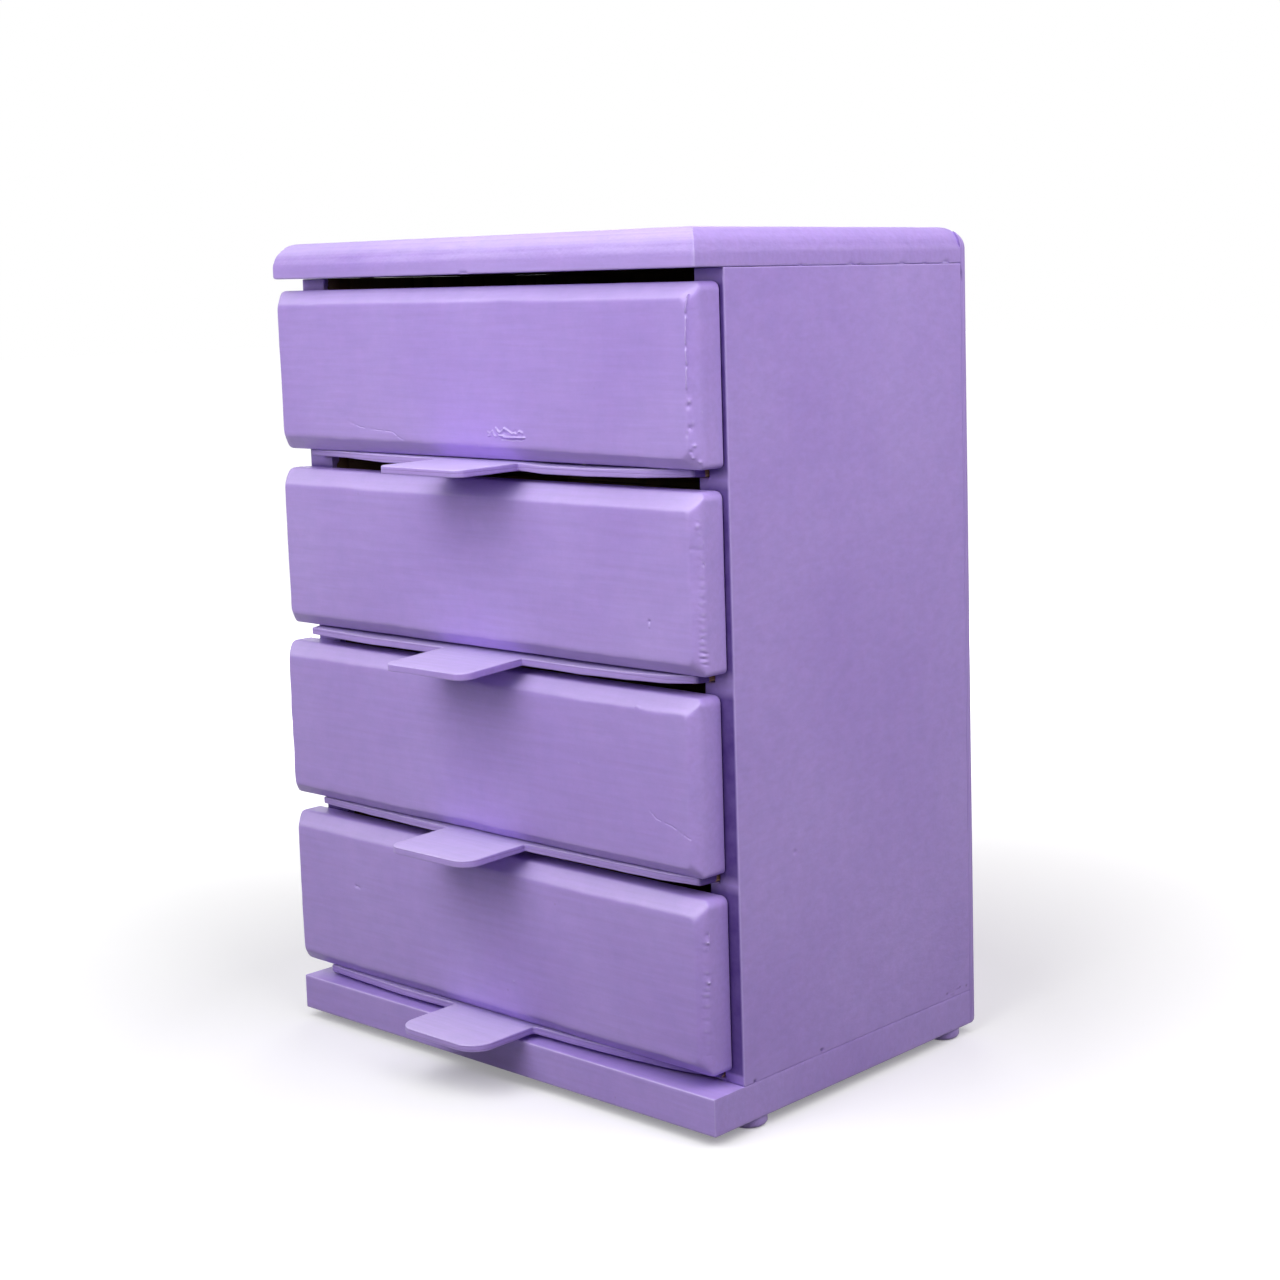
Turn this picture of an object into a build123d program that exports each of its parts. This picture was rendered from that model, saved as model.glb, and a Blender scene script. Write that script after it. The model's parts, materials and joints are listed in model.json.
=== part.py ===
from build123d import *
import os

# A small painted tabletop chest with four drawers.
# The case is built from solid boards, with a plywood panel on its back.
# Each drawer is a thick front board and a light box on a plywood bottom. The bottom is wider than
# the box and slides in a groove in each side board, and a tongue on its front edge is the pull.
# While the pieces are made, X = 0 is the middle of the case, Y = 0 is the plane of the side boards'
# front edges with +Y to the back, and Z = 0 is the underside of the base board.

# Stock, in millimetres
BOARD = 12.0  # thickness of the case boards and the drawer fronts
PLY = 2.7  # thickness of the drawer bottoms and the back panel
BOX_WOOD = 6.0  # thickness of the drawer walls

# Case
CASE_W = 200.0  # across the outer faces of the side boards
SIDE_DEPTH = 116.0  # front to back of a side board
TOP_OVERHANG = 12.4  # top board in front of the side boards
BASE_OVERHANG = 13.5  # base board in front of the side boards
TOP_ROUND = 7.0  # radius along the upper edges of the top board

# Drawers, counted from the bottom
DRAWERS = 4
FRONT_H = 55.0
FRONT_GAP = 3.9  # open gap above each drawer front
BASE_GAP = 1.3  # open gap under the lowest drawer bottom
FRONT_BEVEL = 4.5  # along the upper and lower edges of a front
FRONT_END_BEVEL = 3.2  # along the ends of a front
BEVEL_SOFTENING = 0.8  # radius where a bevel meets the face
BOX_H = 46.0  # height of the drawer walls above the bottom
BOTTOM_INSET = 2.3  # front edge of a bottom behind the face of its front
# Each front was fixed by eye: how far its middle is from the middle of the case.
FRONT_SHIFTS = (-4.5, -5.2, -2.3, -1.5)

# Tongue pulls
TONGUE_W = 38.5
TONGUE_OUT = 25.5  # in front of the bottom's front edge
TONGUE_ROUND = 5.0  # radius of the two front corners
TONGUE_SHIFTS = (-2.7, -3.3, -1.2, 0.4)  # from the middle of the case

# Grooves in the side boards
GROOVE_DEPTH = 4.0
GROOVE_SLACK = 0.3  # above and below a drawer bottom
RUNNER_SLACK = 0.5  # at each end of a drawer bottom
STOP_GAP = 0.3  # between a closed front and the side boards
BOX_SIDE_GAP = 1.0  # between a drawer wall and its side board
BOX_REAR_GAP = 4.0  # between a closed drawer and the back panel

# Feet
FOOT_D = 12.0
FOOT_H = 3.5
FOOT_SOFTENING = 1.4  # radius round the foot's lower rim
FOOT_SIDE_INSET = 6.4  # middle of a foot from the outer face of a side board
FOOT_FRONT_INSET = 22.0  # middle of a front foot from the front of the base board
FOOT_BACK_INSET = 10.6  # middle of a back foot from the back of the case

# Fixings
DOWEL_D = 5.0
DOWEL_IN_BOARD = 8.0  # length inside the top board or the base board
DOWEL_IN_SIDE = 14.0  # length inside a side board
DOWEL_INSET = 24.0  # from the front and the back edge of a side board
PIN_D = 1.2
PIN_HEAD_D = 2.6
PIN_HEAD_T = 0.6
PIN_GRIP = 8.0  # length of a pin inside the wood behind the plywood
PIN_INSET = 9.0  # from the edges that a row of pins ends at
SIDE_PINS = 4  # through the back panel into each side board
TOP_PINS = 2  # through the back panel into the top board, and as many into the base board
WALL_PINS = 3  # through a drawer bottom into each side wall
FRONT_PINS = 3  # through a drawer bottom into the front
BACK_PINS = 2  # through a drawer bottom into the back wall
NAIL_D = 1.6
NAIL_HEAD_D = 4.0
NAIL_HEAD_T = 0.8
NAIL_RECESS = 1.0  # head below the foot's lower face
NAIL_GRIP = 7.0  # length of a nail inside the base board
FIXING_FIT = 0.02  # radial gap round every dowel, pin and nail

# Worked out from the sizes above
DRAWER_PITCH = PLY + FRONT_H + FRONT_GAP
SIDE_H = BASE_GAP + DRAWERS * DRAWER_PITCH
SIDE_BOTTOM = BOARD
SIDE_TOP = SIDE_BOTTOM + SIDE_H
CASE_H = SIDE_TOP + BOARD
BACK_INNER = SIDE_DEPTH
BACK_OUTER = BACK_INNER + PLY
INNER_HALF_W = CASE_W / 2 - BOARD
FRONT_W = CASE_W
FRONT_BACK = -STOP_GAP
FRONT_FACE = FRONT_BACK - BOARD
BOTTOM_FRONT = FRONT_FACE + BOTTOM_INSET
BOTTOM_HALF_W = INNER_HALF_W + GROOVE_DEPTH - RUNNER_SLACK
BOX_HALF_W = INNER_HALF_W - BOX_SIDE_GAP
BOX_BACK = BACK_INNER - BOX_REAR_GAP
DOWEL_YS = (DOWEL_INSET, SIDE_DEPTH - DOWEL_INSET)
FOOT_YS = {"front": FOOT_FRONT_INSET - BASE_OVERHANG, "back": BACK_OUTER - FOOT_BACK_INSET}
SIDES = {"left": -1, "right": 1}


def block(x0, x1, y0, y1, z0, z1):
    """A box between two opposite corners."""
    box = Box(x1 - x0, y1 - y0, z1 - z0, align=(Align.MIN, Align.MIN, Align.MIN))
    return Pos(x0, y0, z0) * box


def rod(diameter, start, direction, length):
    """A round rod that starts at a point and runs along a direction."""
    plane = Plane(origin=start, z_dir=direction)
    return extrude(plane * Circle(diameter / 2), length)


def spread(low, high, count):
    """Evenly spaced places from low to high."""
    step = (high - low) / (count - 1)
    return [low + step * index for index in range(count)]


def bottom_level(index):
    """Underside of a drawer's plywood bottom."""
    return SIDE_BOTTOM + BASE_GAP + index * DRAWER_PITCH


# Fixings ------------------------------------------------------------------------------------------
# A fixing is made by one function, and called with a gap the same function makes its hole.


def dowel(x, y, joint_z, into_board, gap=0.0):
    """A dowel across the joint between a side board and the board above (+1) or below (-1) it."""
    start = (x, y, joint_z - into_board * DOWEL_IN_SIDE)
    return rod(DOWEL_D + 2 * gap, start, (0, 0, into_board), DOWEL_IN_SIDE + DOWEL_IN_BOARD)


def pin(head, direction, gap=0.0):
    """A headed pin through the plywood, its head flush with the outer face."""
    shank = rod(PIN_D + 2 * gap, head, direction, PLY + PIN_GRIP)
    return shank + rod(PIN_HEAD_D + 2 * gap, head, direction, PIN_HEAD_T)


def foot_nail(x, y, gap=0.0):
    """The nail up through a foot into the base board."""
    head = (x, y, NAIL_RECESS - FOOT_H)
    up = (0, 0, 1)
    shank = rod(NAIL_D + 2 * gap, head, up, FOOT_H - NAIL_RECESS + NAIL_GRIP)
    return shank + rod(NAIL_HEAD_D + 2 * gap, head, up, NAIL_HEAD_T)


def case_dowels(joint_z, into_board, gap=0.0):
    """The four dowels of the top board or of the base board."""
    x = CASE_W / 2 - BOARD / 2
    return [dowel(side * x, y, joint_z, into_board, gap) for side in SIDES.values() for y in DOWEL_YS]


def back_pins(gap=0.0):
    """Pins round the edge of the back panel, into the boards in front of it."""
    x = CASE_W / 2 - BOARD / 2
    side_zs = spread(SIDE_BOTTOM + PIN_INSET, SIDE_TOP - PIN_INSET, SIDE_PINS)
    spots = [(side * x, z) for side in SIDES.values() for z in side_zs]
    top_z = SIDE_TOP + (BOARD - TOP_ROUND) / 2
    inner_xs = spread(-x, x, TOP_PINS + 2)[1:-1]
    spots += [(inner_x, z) for inner_x in inner_xs for z in (BOARD / 2, top_z)]
    return [pin((px, BACK_OUTER, pz), (0, -1, 0), gap) for px, pz in spots]


def drawer_pins(index, gap=0.0):
    """Pins up through a drawer bottom into the walls and the front."""
    z = bottom_level(index)
    wall_x = BOX_HALF_W - BOX_WOOD / 2
    wall_ys = spread(PIN_INSET, BOX_BACK - BOX_WOOD - PIN_INSET, WALL_PINS)
    spots = [(side * wall_x, y) for side in SIDES.values() for y in wall_ys]
    front_y = (FRONT_BACK + FRONT_FACE + FRONT_BEVEL) / 2
    back_y = BOX_BACK - BOX_WOOD / 2
    for y, count in ((front_y, FRONT_PINS), (back_y, BACK_PINS)):
        spots += [(x, y) for x in spread(-BOX_HALF_W / 2, BOX_HALF_W / 2, count)]
    return [pin((px, py, z), (0, 0, 1), gap) for px, py in spots]


# Case ---------------------------------------------------------------------------------------------


def rear_waste():
    """What the rounded rear upper edge takes off the top board and the back panel."""
    y = BACK_OUTER - TOP_ROUND
    z = CASE_H - TOP_ROUND
    corner = block(-CASE_W, CASE_W, y, BACK_OUTER + TOP_ROUND, z, CASE_H + TOP_ROUND)
    return corner - rod(2 * TOP_ROUND, (-CASE_W, y, z), (1, 0, 0), 2 * CASE_W)


def top_board():
    board = block(-CASE_W / 2, CASE_W / 2, -TOP_OVERHANG, BACK_INNER, SIDE_TOP, CASE_H)
    upper = board.faces().sort_by(Axis.Z)[-1].edges()
    rounded = upper.sort_by(Axis.Y)[:-1]
    board = fillet(rounded, TOP_ROUND)
    return board - rear_waste() - case_dowels(SIDE_TOP, 1, FIXING_FIT) - back_pins(FIXING_FIT)


def foot_nails(gap=0.0):
    """The nails of the four feet."""
    x = CASE_W / 2 - FOOT_SIDE_INSET
    return [foot_nail(side * x, y, gap) for side in SIDES.values() for y in FOOT_YS.values()]


def base_board():
    board = block(-CASE_W / 2, CASE_W / 2, -BASE_OVERHANG, BACK_INNER, 0, BOARD)
    board -= case_dowels(SIDE_BOTTOM, -1, FIXING_FIT)
    return board - back_pins(FIXING_FIT) - foot_nails(FIXING_FIT)


def side_board(side):
    """A side board with a groove for each drawer bottom, open at the front and the back."""
    inner, outer = sorted((side * INNER_HALF_W, side * CASE_W / 2), key=abs)
    board = block(min(inner, outer), max(inner, outer), 0, SIDE_DEPTH, SIDE_BOTTOM, SIDE_TOP)
    groove_end = inner + side * GROOVE_DEPTH
    for index in range(DRAWERS):
        low = bottom_level(index) - GROOVE_SLACK
        high = bottom_level(index) + PLY + GROOVE_SLACK
        board -= block(min(inner, groove_end), max(inner, groove_end), 0, SIDE_DEPTH, low, high)
    board -= case_dowels(SIDE_TOP, 1, FIXING_FIT) + case_dowels(SIDE_BOTTOM, -1, FIXING_FIT)
    return board - back_pins(FIXING_FIT)


def back_panel():
    panel = block(-CASE_W / 2, CASE_W / 2, BACK_INNER, BACK_OUTER, 0, CASE_H)
    upper = panel.faces().sort_by(Axis.Z)[-1].edges()
    ends = [edge for edge in upper if abs(edge.center().X) > CASE_W / 4]
    panel = fillet(ends, TOP_ROUND)
    return panel - rear_waste() - back_pins(FIXING_FIT)


def foot(side, y):
    """A button foot with a softened lower rim."""
    x = side * (CASE_W / 2 - FOOT_SIDE_INSET)
    button = rod(FOOT_D, (x, y, -FOOT_H), (0, 0, 1), FOOT_H)
    rim = button.faces().sort_by(Axis.Z)[0].edges()
    return fillet(rim, FOOT_SOFTENING) - foot_nail(x, y, FIXING_FIT)


# Drawers ------------------------------------------------------------------------------------------


def drawer_front(index):
    """A thick front with a bevel on all four edges of its face."""
    low = bottom_level(index) + PLY
    middle = FRONT_SHIFTS[index]
    front = block(
        middle - FRONT_W / 2, middle + FRONT_W / 2, FRONT_FACE, FRONT_BACK, low, low + FRONT_H
    )
    face = front.faces().sort_by(Axis.Y)[0]
    long_edges = face.edges().filter_by(Axis.X)
    front = chamfer(long_edges, FRONT_BEVEL)
    face = front.faces().sort_by(Axis.Y)[0]
    front = chamfer(face.edges().filter_by(Axis.Z), FRONT_END_BEVEL)
    face = front.faces().sort_by(Axis.Y)[0]
    front = fillet(face.edges(), BEVEL_SOFTENING)
    return front - drawer_pins(index, FIXING_FIT)


def drawer_wall(index, side):
    low = bottom_level(index) + PLY
    outer = side * BOX_HALF_W
    inner = outer - side * BOX_WOOD
    wall = block(min(inner, outer), max(inner, outer), FRONT_BACK, BOX_BACK, low, low + BOX_H)
    return wall - drawer_pins(index, FIXING_FIT)


def drawer_back(index):
    low = bottom_level(index) + PLY
    half_w = BOX_HALF_W - BOX_WOOD
    wall = block(-half_w, half_w, BOX_BACK - BOX_WOOD, BOX_BACK, low, low + BOX_H)
    return wall - drawer_pins(index, FIXING_FIT)


def drawer_bottom(index):
    """The plywood bottom, whose ends run in the grooves, with its tongue pull."""
    low = bottom_level(index)
    high = low + PLY
    sheet = block(-BOTTOM_HALF_W, BOTTOM_HALF_W, BOTTOM_FRONT, BOX_BACK, low, high)
    middle = TONGUE_SHIFTS[index]
    tip = BOTTOM_FRONT - TONGUE_OUT
    tongue = block(middle - TONGUE_W / 2, middle + TONGUE_W / 2, tip, BOTTOM_FRONT, low, high)
    corners = tongue.edges().filter_by(Axis.Z).sort_by(Axis.Y)[:2]
    return sheet + fillet(corners, TONGUE_ROUND) - drawer_pins(index, FIXING_FIT)


# The whole chest ----------------------------------------------------------------------------------


def chest():
    """Every piece by name."""
    pieces = {
        "top_board": top_board(),
        "base_board": base_board(),
        "back_panel": back_panel(),
        "top_dowels": Compound(case_dowels(SIDE_TOP, 1)),
        "base_dowels": Compound(case_dowels(SIDE_BOTTOM, -1)),
        "back_pins": Compound(back_pins()),
        "foot_nails": Compound(foot_nails()),
    }
    for name, side in SIDES.items():
        pieces[f"{name}_side"] = side_board(side)
        for place, y in FOOT_YS.items():
            pieces[f"foot_{place}_{name}"] = foot(side, y)
    for index in range(DRAWERS):
        drawer = f"drawer_{index + 1}"
        pieces[f"{drawer}_front"] = drawer_front(index)
        pieces[f"{drawer}_bottom"] = drawer_bottom(index)
        pieces[f"{drawer}_back"] = drawer_back(index)
        for name, side in SIDES.items():
            pieces[f"{drawer}_{name}_wall"] = drawer_wall(index, side)
        pieces[f"{drawer}_pins"] = Compound(drawer_pins(index))
    return pieces


def origin_of(pieces):
    """The middle of the chest's bounding box, at the level that the feet stand on."""
    bounds = Compound([solid for piece in pieces.values() for solid in piece.solids()]).bounding_box()
    return Vector(bounds.center().X, bounds.center().Y, bounds.min.Z)


def main():
    pieces = chest()
    origin = origin_of(pieces)
    os.makedirs("parts", exist_ok=True)
    for name, piece in pieces.items():
        solids = Compound(list(piece.solids()))
        export_step(Pos(-origin.X, -origin.Y, -origin.Z) * solids, f"parts/{name}.step")


main()
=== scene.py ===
# %% [markdown]
# # A small painted chest of four drawers
#
# This lesson dresses the measured model of a small tabletop chest. The real one was made by hand
# from softwood boards and thin plywood, and then brushed lilac all over, feet and pulls included.
# The model arrives as plain solids in one shared frame, in metres: X runs to the right, Y to the
# back, and Z up from the floor. Every piece we make is put straight into that frame, rides on one
# of the moving bodies (the case or a drawer), and stands for the plain solid in its place.

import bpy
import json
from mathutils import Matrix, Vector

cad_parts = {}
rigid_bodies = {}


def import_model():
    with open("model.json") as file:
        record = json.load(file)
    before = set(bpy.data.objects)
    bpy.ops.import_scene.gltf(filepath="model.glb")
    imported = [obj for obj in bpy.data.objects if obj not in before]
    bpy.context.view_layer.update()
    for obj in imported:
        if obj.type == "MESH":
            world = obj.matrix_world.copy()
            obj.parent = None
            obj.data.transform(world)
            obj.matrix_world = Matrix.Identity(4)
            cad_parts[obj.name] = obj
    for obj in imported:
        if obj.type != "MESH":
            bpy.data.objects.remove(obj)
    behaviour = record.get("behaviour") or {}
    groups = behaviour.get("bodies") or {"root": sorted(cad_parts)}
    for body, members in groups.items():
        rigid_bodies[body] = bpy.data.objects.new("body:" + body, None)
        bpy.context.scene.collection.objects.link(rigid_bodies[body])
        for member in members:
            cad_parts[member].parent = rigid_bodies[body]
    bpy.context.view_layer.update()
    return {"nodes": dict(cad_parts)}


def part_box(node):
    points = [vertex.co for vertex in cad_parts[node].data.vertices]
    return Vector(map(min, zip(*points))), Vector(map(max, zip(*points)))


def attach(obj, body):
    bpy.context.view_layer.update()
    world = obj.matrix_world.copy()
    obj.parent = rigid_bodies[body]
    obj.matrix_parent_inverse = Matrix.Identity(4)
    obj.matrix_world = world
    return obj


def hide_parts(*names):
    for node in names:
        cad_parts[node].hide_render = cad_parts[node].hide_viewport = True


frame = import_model()

# %% [markdown]
# ## Tools for the whole lesson
#
# `bpy.ops` does the modelling, as a person would with the mouse. `bmesh` only picks which faces or
# edges an operator should act on. A few small pieces of maths from `mathutils` make the surfaces
# as uneven as hand work is. The sizes below are millimetres times `MM`, because a maker thinks in
# millimetres and Blender counts in metres.

# %% Import the tools and choose the unit
import json
import math

import bmesh
import bpy
import numpy
from mathutils import Matrix, Vector, noise

MM = 0.001
DRAWERS = (1, 2, 3, 4)
WALL_NAMES = ("left_wall", "right_wall", "back")
print("one millimetre is", MM, "of Blender's units")

# %% [markdown]
# ## Opening a piece and picking parts of it
#
# An operator acts on everything that is selected, and the loaded solids arrive selected. So each
# step starts by deselecting everything, and then picks what it needs by place or by direction.
# `open_piece` goes into edit mode with nothing picked, `pick` selects the elements that pass a
# test, and `close_piece` comes back out.

# %% Open, pick and close
KINDS = {"VERT": "verts", "EDGE": "edges", "FACE": "faces"}


def alone(piece):
    bpy.ops.object.select_all(action="DESELECT")
    piece.select_set(True)
    bpy.context.view_layer.objects.active = piece


def open_piece(piece):
    alone(piece)
    bpy.ops.object.mode_set(mode="EDIT")
    bpy.ops.mesh.select_all(action="DESELECT")


def close_piece():
    bpy.ops.object.mode_set(mode="OBJECT")


def pick(piece, kind, test):
    """Select the elements of an opened piece that pass the test, and say how many."""
    bpy.ops.mesh.select_mode(type=kind)
    bpy.ops.mesh.select_all(action="DESELECT")
    cage = bmesh.from_edit_mesh(piece.data)
    found = [element for element in getattr(cage, KINDS[kind]) if test(element)]
    for element in found:
        element.select_set(True)
    cage.select_flush_mode()
    bmesh.update_edit_mesh(piece.data)
    return len(found)


def middle(edge):
    return (edge.verts[0].co + edge.verts[1].co) / 2


def runs_along(edge, axis):
    way = edge.verts[1].co - edge.verts[0].co
    return abs(way[axis]) > 0.99 * way.length


# %% [markdown]
# ## Blocks, saw cuts and soft edges
#
# Every board starts as a block between two corners. A saw cut is Blender's bisect: it slices
# through what is selected, and throws away and closes the outer side if we ask. A real painted
# edge is never knife sharp, because sandpaper and the film of paint both round it, so the Bevel
# modifier softens each one by a fraction of a millimetre. That thin rounding is what catches the
# light along the edges of the real chest.

# %% Make a block, saw it and soften its edges


def block(name, low, high):
    bpy.ops.object.select_all(action="DESELECT")
    low, high = Vector(low), Vector(high)
    bpy.ops.mesh.primitive_cube_add(size=1, location=(low + high) / 2, scale=high - low)
    piece = bpy.context.active_object
    piece.name = piece.data.name = name
    bpy.ops.object.transform_apply(location=True, rotation=False, scale=True)
    return piece


def slice_through(point, direction, **drop):
    """Cut straight through the whole of an opened piece."""
    bpy.ops.mesh.select_all(action="SELECT")
    bpy.ops.mesh.bisect(plane_co=point, plane_no=direction, **drop)


def saw(point, direction):
    """Cut straight through an opened piece and drop what lies beyond the cut."""
    slice_through(point, direction, use_fill=True, clear_outer=True)


def soften(piece, width, segments=2, angle=50, filled=None):
    """Round the sharp edges; those that pass `filled` were flushed with filler and stay tight."""
    sharp = math.radians(angle)
    if filled:
        for test, weight in ((lambda edge: True, 1.0), (lambda edge: filled(middle(edge)), -0.8)):
            open_piece(piece)
            pick(piece, "EDGE", lambda edge: test(edge) and edge.calc_face_angle(0) > sharp)
            bpy.ops.transform.edge_bevelweight(value=weight)
            close_piece()
    alone(piece)
    rounding = piece.modifiers.new("soft_edges", "BEVEL")
    rounding.limit_method = "WEIGHT" if filled else "ANGLE"
    rounding.angle_limit = sharp
    rounding.width = width
    rounding.segments = segments
    bpy.ops.object.modifier_apply(modifier=rounding.name)


def copy_piece(original, name, way):
    """A copy with a mesh of its own, moved by a vector."""
    piece = original.copy()
    piece.data = original.data.copy()
    piece.name = piece.data.name = name
    bpy.context.scene.collection.objects.link(piece)
    piece.data.transform(Matrix.Translation(way))
    return piece


# %% [markdown]
# ## Giving a board enough mesh to be uneven
#
# A flat board of six faces can't be lumpy. Cutting it with many parallel planes gives an even
# grid, which keeps every edge exactly where it is. The cuts lie close together near the ends,
# where edges and bevels need them, and further apart over the flat middle. The fewest cuts that
# show the unevenness keep the object light.

# %% Grid a board with parallel cuts


def spaced(low, high, margin, fine, coarse):
    """Places from low to high, fine within the margin at both ends and coarse between."""
    places, here = [], low + fine
    while here < high - fine / 2:
        places.append(here)
        near_an_end = here < low + margin or here > high - margin
        here += fine if near_an_end else coarse
    return places


def grid_cuts(piece, axis, places):
    direction = Vector((0, 0, 0))
    direction[axis] = 1
    open_piece(piece)
    for place in places:
        slice_through(direction * place, direction)
    close_piece()


def grid_board(piece, margin, fine, coarse):
    corners = [Vector(corner) for corner in piece.bound_box]
    for axis in range(3):
        low = min(corner[axis] for corner in corners)
        high = max(corner[axis] for corner in corners)
        grid_cuts(piece, axis, spaced(low, high, margin, fine, coarse))
    print(piece.name, "has", len(piece.data.polygons), "faces after its grid cuts")


def finer_where(piece, cuts, test):
    """Divide the faces that pass the test, where small marks need more mesh."""
    open_piece(piece)
    if pick(piece, "FACE", test):
        bpy.ops.mesh.subdivide(number_cuts=cuts)
    close_piece()


def finer_round(piece, centre, reach, cuts):
    finer_where(piece, cuts, lambda face: (face.calc_center_median() - centre).length < reach)


# %% [markdown]
# ## Surfaces worked by hand
#
# Planes and sandpaper leave a board gently uneven. Each point moves a little inwards along its
# own normal, never outwards, so that a board stays as large as it was measured. The amount comes
# from smooth noise, which is the same every time the script runs.

# %% Move points inwards by smooth noise


def lumps(point, size, seed):
    """Smooth noise between about -1 and 1 whose bumps are about that size."""
    return noise.noise(point / size + Vector((seed * 7.31, seed * 3.17, seed * 5.53)))


def read_points(mesh, source, name):
    values = numpy.empty(3 * len(mesh.vertices), numpy.float32)
    source.foreach_get(name, values)
    return values.reshape(-1, 3)


def move_points(piece, shift, low=None, high=None):
    """Add shift(place, normal) to every point of a piece, or only to those between two corners."""
    mesh = piece.data
    places = read_points(mesh, mesh.vertices, "co")
    normals = read_points(mesh, mesh.vertex_normals, "vector")
    chosen = numpy.ones(len(places), bool)
    if low is not None:
        chosen = (places > numpy.array(low)).all(axis=1) & (places < numpy.array(high)).all(axis=1)
    for index in numpy.flatnonzero(chosen):
        places[index] += shift(Vector(places[index]), Vector(normals[index]))
    mesh.vertices.foreach_set("co", places.ravel())
    mesh.update()


def work_by_hand(piece, deep, size, seed):
    def shift(place, normal):
        broad = 0.5 + 0.5 * lumps(place, size, seed)
        close = 0.5 + 0.5 * lumps(place, size * 0.35, seed + 11)
        return -normal * deep * (0.75 * broad + 0.25 * close)

    move_points(piece, shift)


def plane_case_board(piece):
    """The boards of the case were planed together, so one pattern runs on over all of them."""
    work_by_hand(piece, 0.10 * MM, 26 * MM, 3)


def ease_corner(piece, axes, corner, away, radius, share=lambda place: 1.0):
    """Round the edge at `corner`, seen along the third axis; `away` says which way is outwards."""

    def shift(place, normal):
        out = [(place[axis] - corner[axis]) * sign + radius for axis, sign in zip(axes, away)]
        moved = Vector((0, 0, 0))
        if min(out) > 0 and math.hypot(*out) > radius:
            for axis, sign, distance in zip(axes, away, out):
                moved[axis] = distance * (radius / math.hypot(*out) - 1) * sign * share(place)
        return moved

    move_points(piece, shift)


def smooth(piece, angle=50):
    alone(piece)
    bpy.ops.object.shade_smooth_by_angle(angle=math.radians(angle))


# %% [markdown]
# ## Small marks
#
# The paint of the real chest has pits, nicks, raised lines and a crusty patch. A mark is a place,
# a reach and a height: negative presses in, positive raises. Along a line, the reach counts from
# the nearest point of the line. Doing this in the mesh rather than in the paint material means
# that the marks catch the light in every view, and are still there when the model is printed.

# %% Press in or raise a mark


def bell(distance, reach):
    return math.exp(-((distance / reach) ** 2) * 2.5) if distance < 2.2 * reach else 0.0


def from_line(place, start, end):
    along = end - start
    share = (place - start).dot(along) / along.length_squared
    return (place - start - along * min(1.0, max(0.0, share))).length


def mark_lines(piece, path, reach, height, seed=0, through=1):
    """Raise or press the surface along a path of places; one place alone makes a pit or a lump.

    Distance is counted as it looks along the `through` axis, so that a path drawn on the flat
    face of a board also lands on a surface that was planed a little deeper.
    """
    pairs = list(zip(path, path[1:])) or [(path[0], path[0] + Vector((1e-6, 1e-6, 1e-6)))]

    def shift(place, normal):
        seen = place.copy()
        seen[through] = path[0][through]
        distance = min(from_line(seen, start, end) for start, end in pairs)
        if distance > 2.2 * reach or abs(normal[through]) < 0.3:
            return Vector((0, 0, 0))
        uneven = 1 + 0.5 * lumps(place, 1.5 * MM, seed)
        return normal * height * uneven * bell(distance, reach)

    room = Vector((1, 1, 1)) * 2.3 * reach
    room[through] = 5 * MM
    low = Vector([min(spot[axis] for spot in path) for axis in range(3)]) - room
    high = Vector([max(spot[axis] for spot in path) for axis in range(3)]) + room
    move_points(piece, shift, low, high)


# %% [markdown]
# ## Where the paint reaches
#
# The maker painted what shows and left the rest bare. `paint_cover` stores that on the points of a piece
# as an attribute, 1 where the brush went and 0 where it didn't, and the paint material reads it and
# frays its border. `own_wood` is one number for a whole piece. It shifts the grain, so that no two
# boards look cut from the same place of a tree. `edge_wear_highlight` is high where a point stands out
# from its neighbours, and makes the arrises paler: partly the coat that sandpaper thinned there, and
# partly a painted highlight where the softened edges catch the light. Some pieces also get
# `painted_shade`, which is painted shade: it darkens the paint to a deep violet in corners, slits,
# pinholes and under the fronts, where shade falls. Some get `hammered`, where the wood under the paint
# was left lumpy. A piece without them reads as 0.

# %% Store what the paint has to know on the points of a piece
base_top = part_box("base_board")[1].z
panel_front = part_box("back_panel")[0].y
side_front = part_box("right_side")[0].y
side_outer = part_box("right_side")[1].x


def in_filled_seam(place):
    """The joints with the panel and, on the outside, with the base are filled and painted over."""
    with_panel = abs(place.y - panel_front) < 1.1 * MM
    outside = abs(place.x) > side_outer - MM and place.y > side_front + MM
    return with_panel or (outside and abs(place.z - base_top) < 1.1 * MM)


def store(piece, name, value_at):
    layer = piece.data.attributes.new(name, "FLOAT", "POINT")
    layer.data.foreach_set("value", [float(value_at(point.co)) for point in piece.data.vertices])


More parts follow.
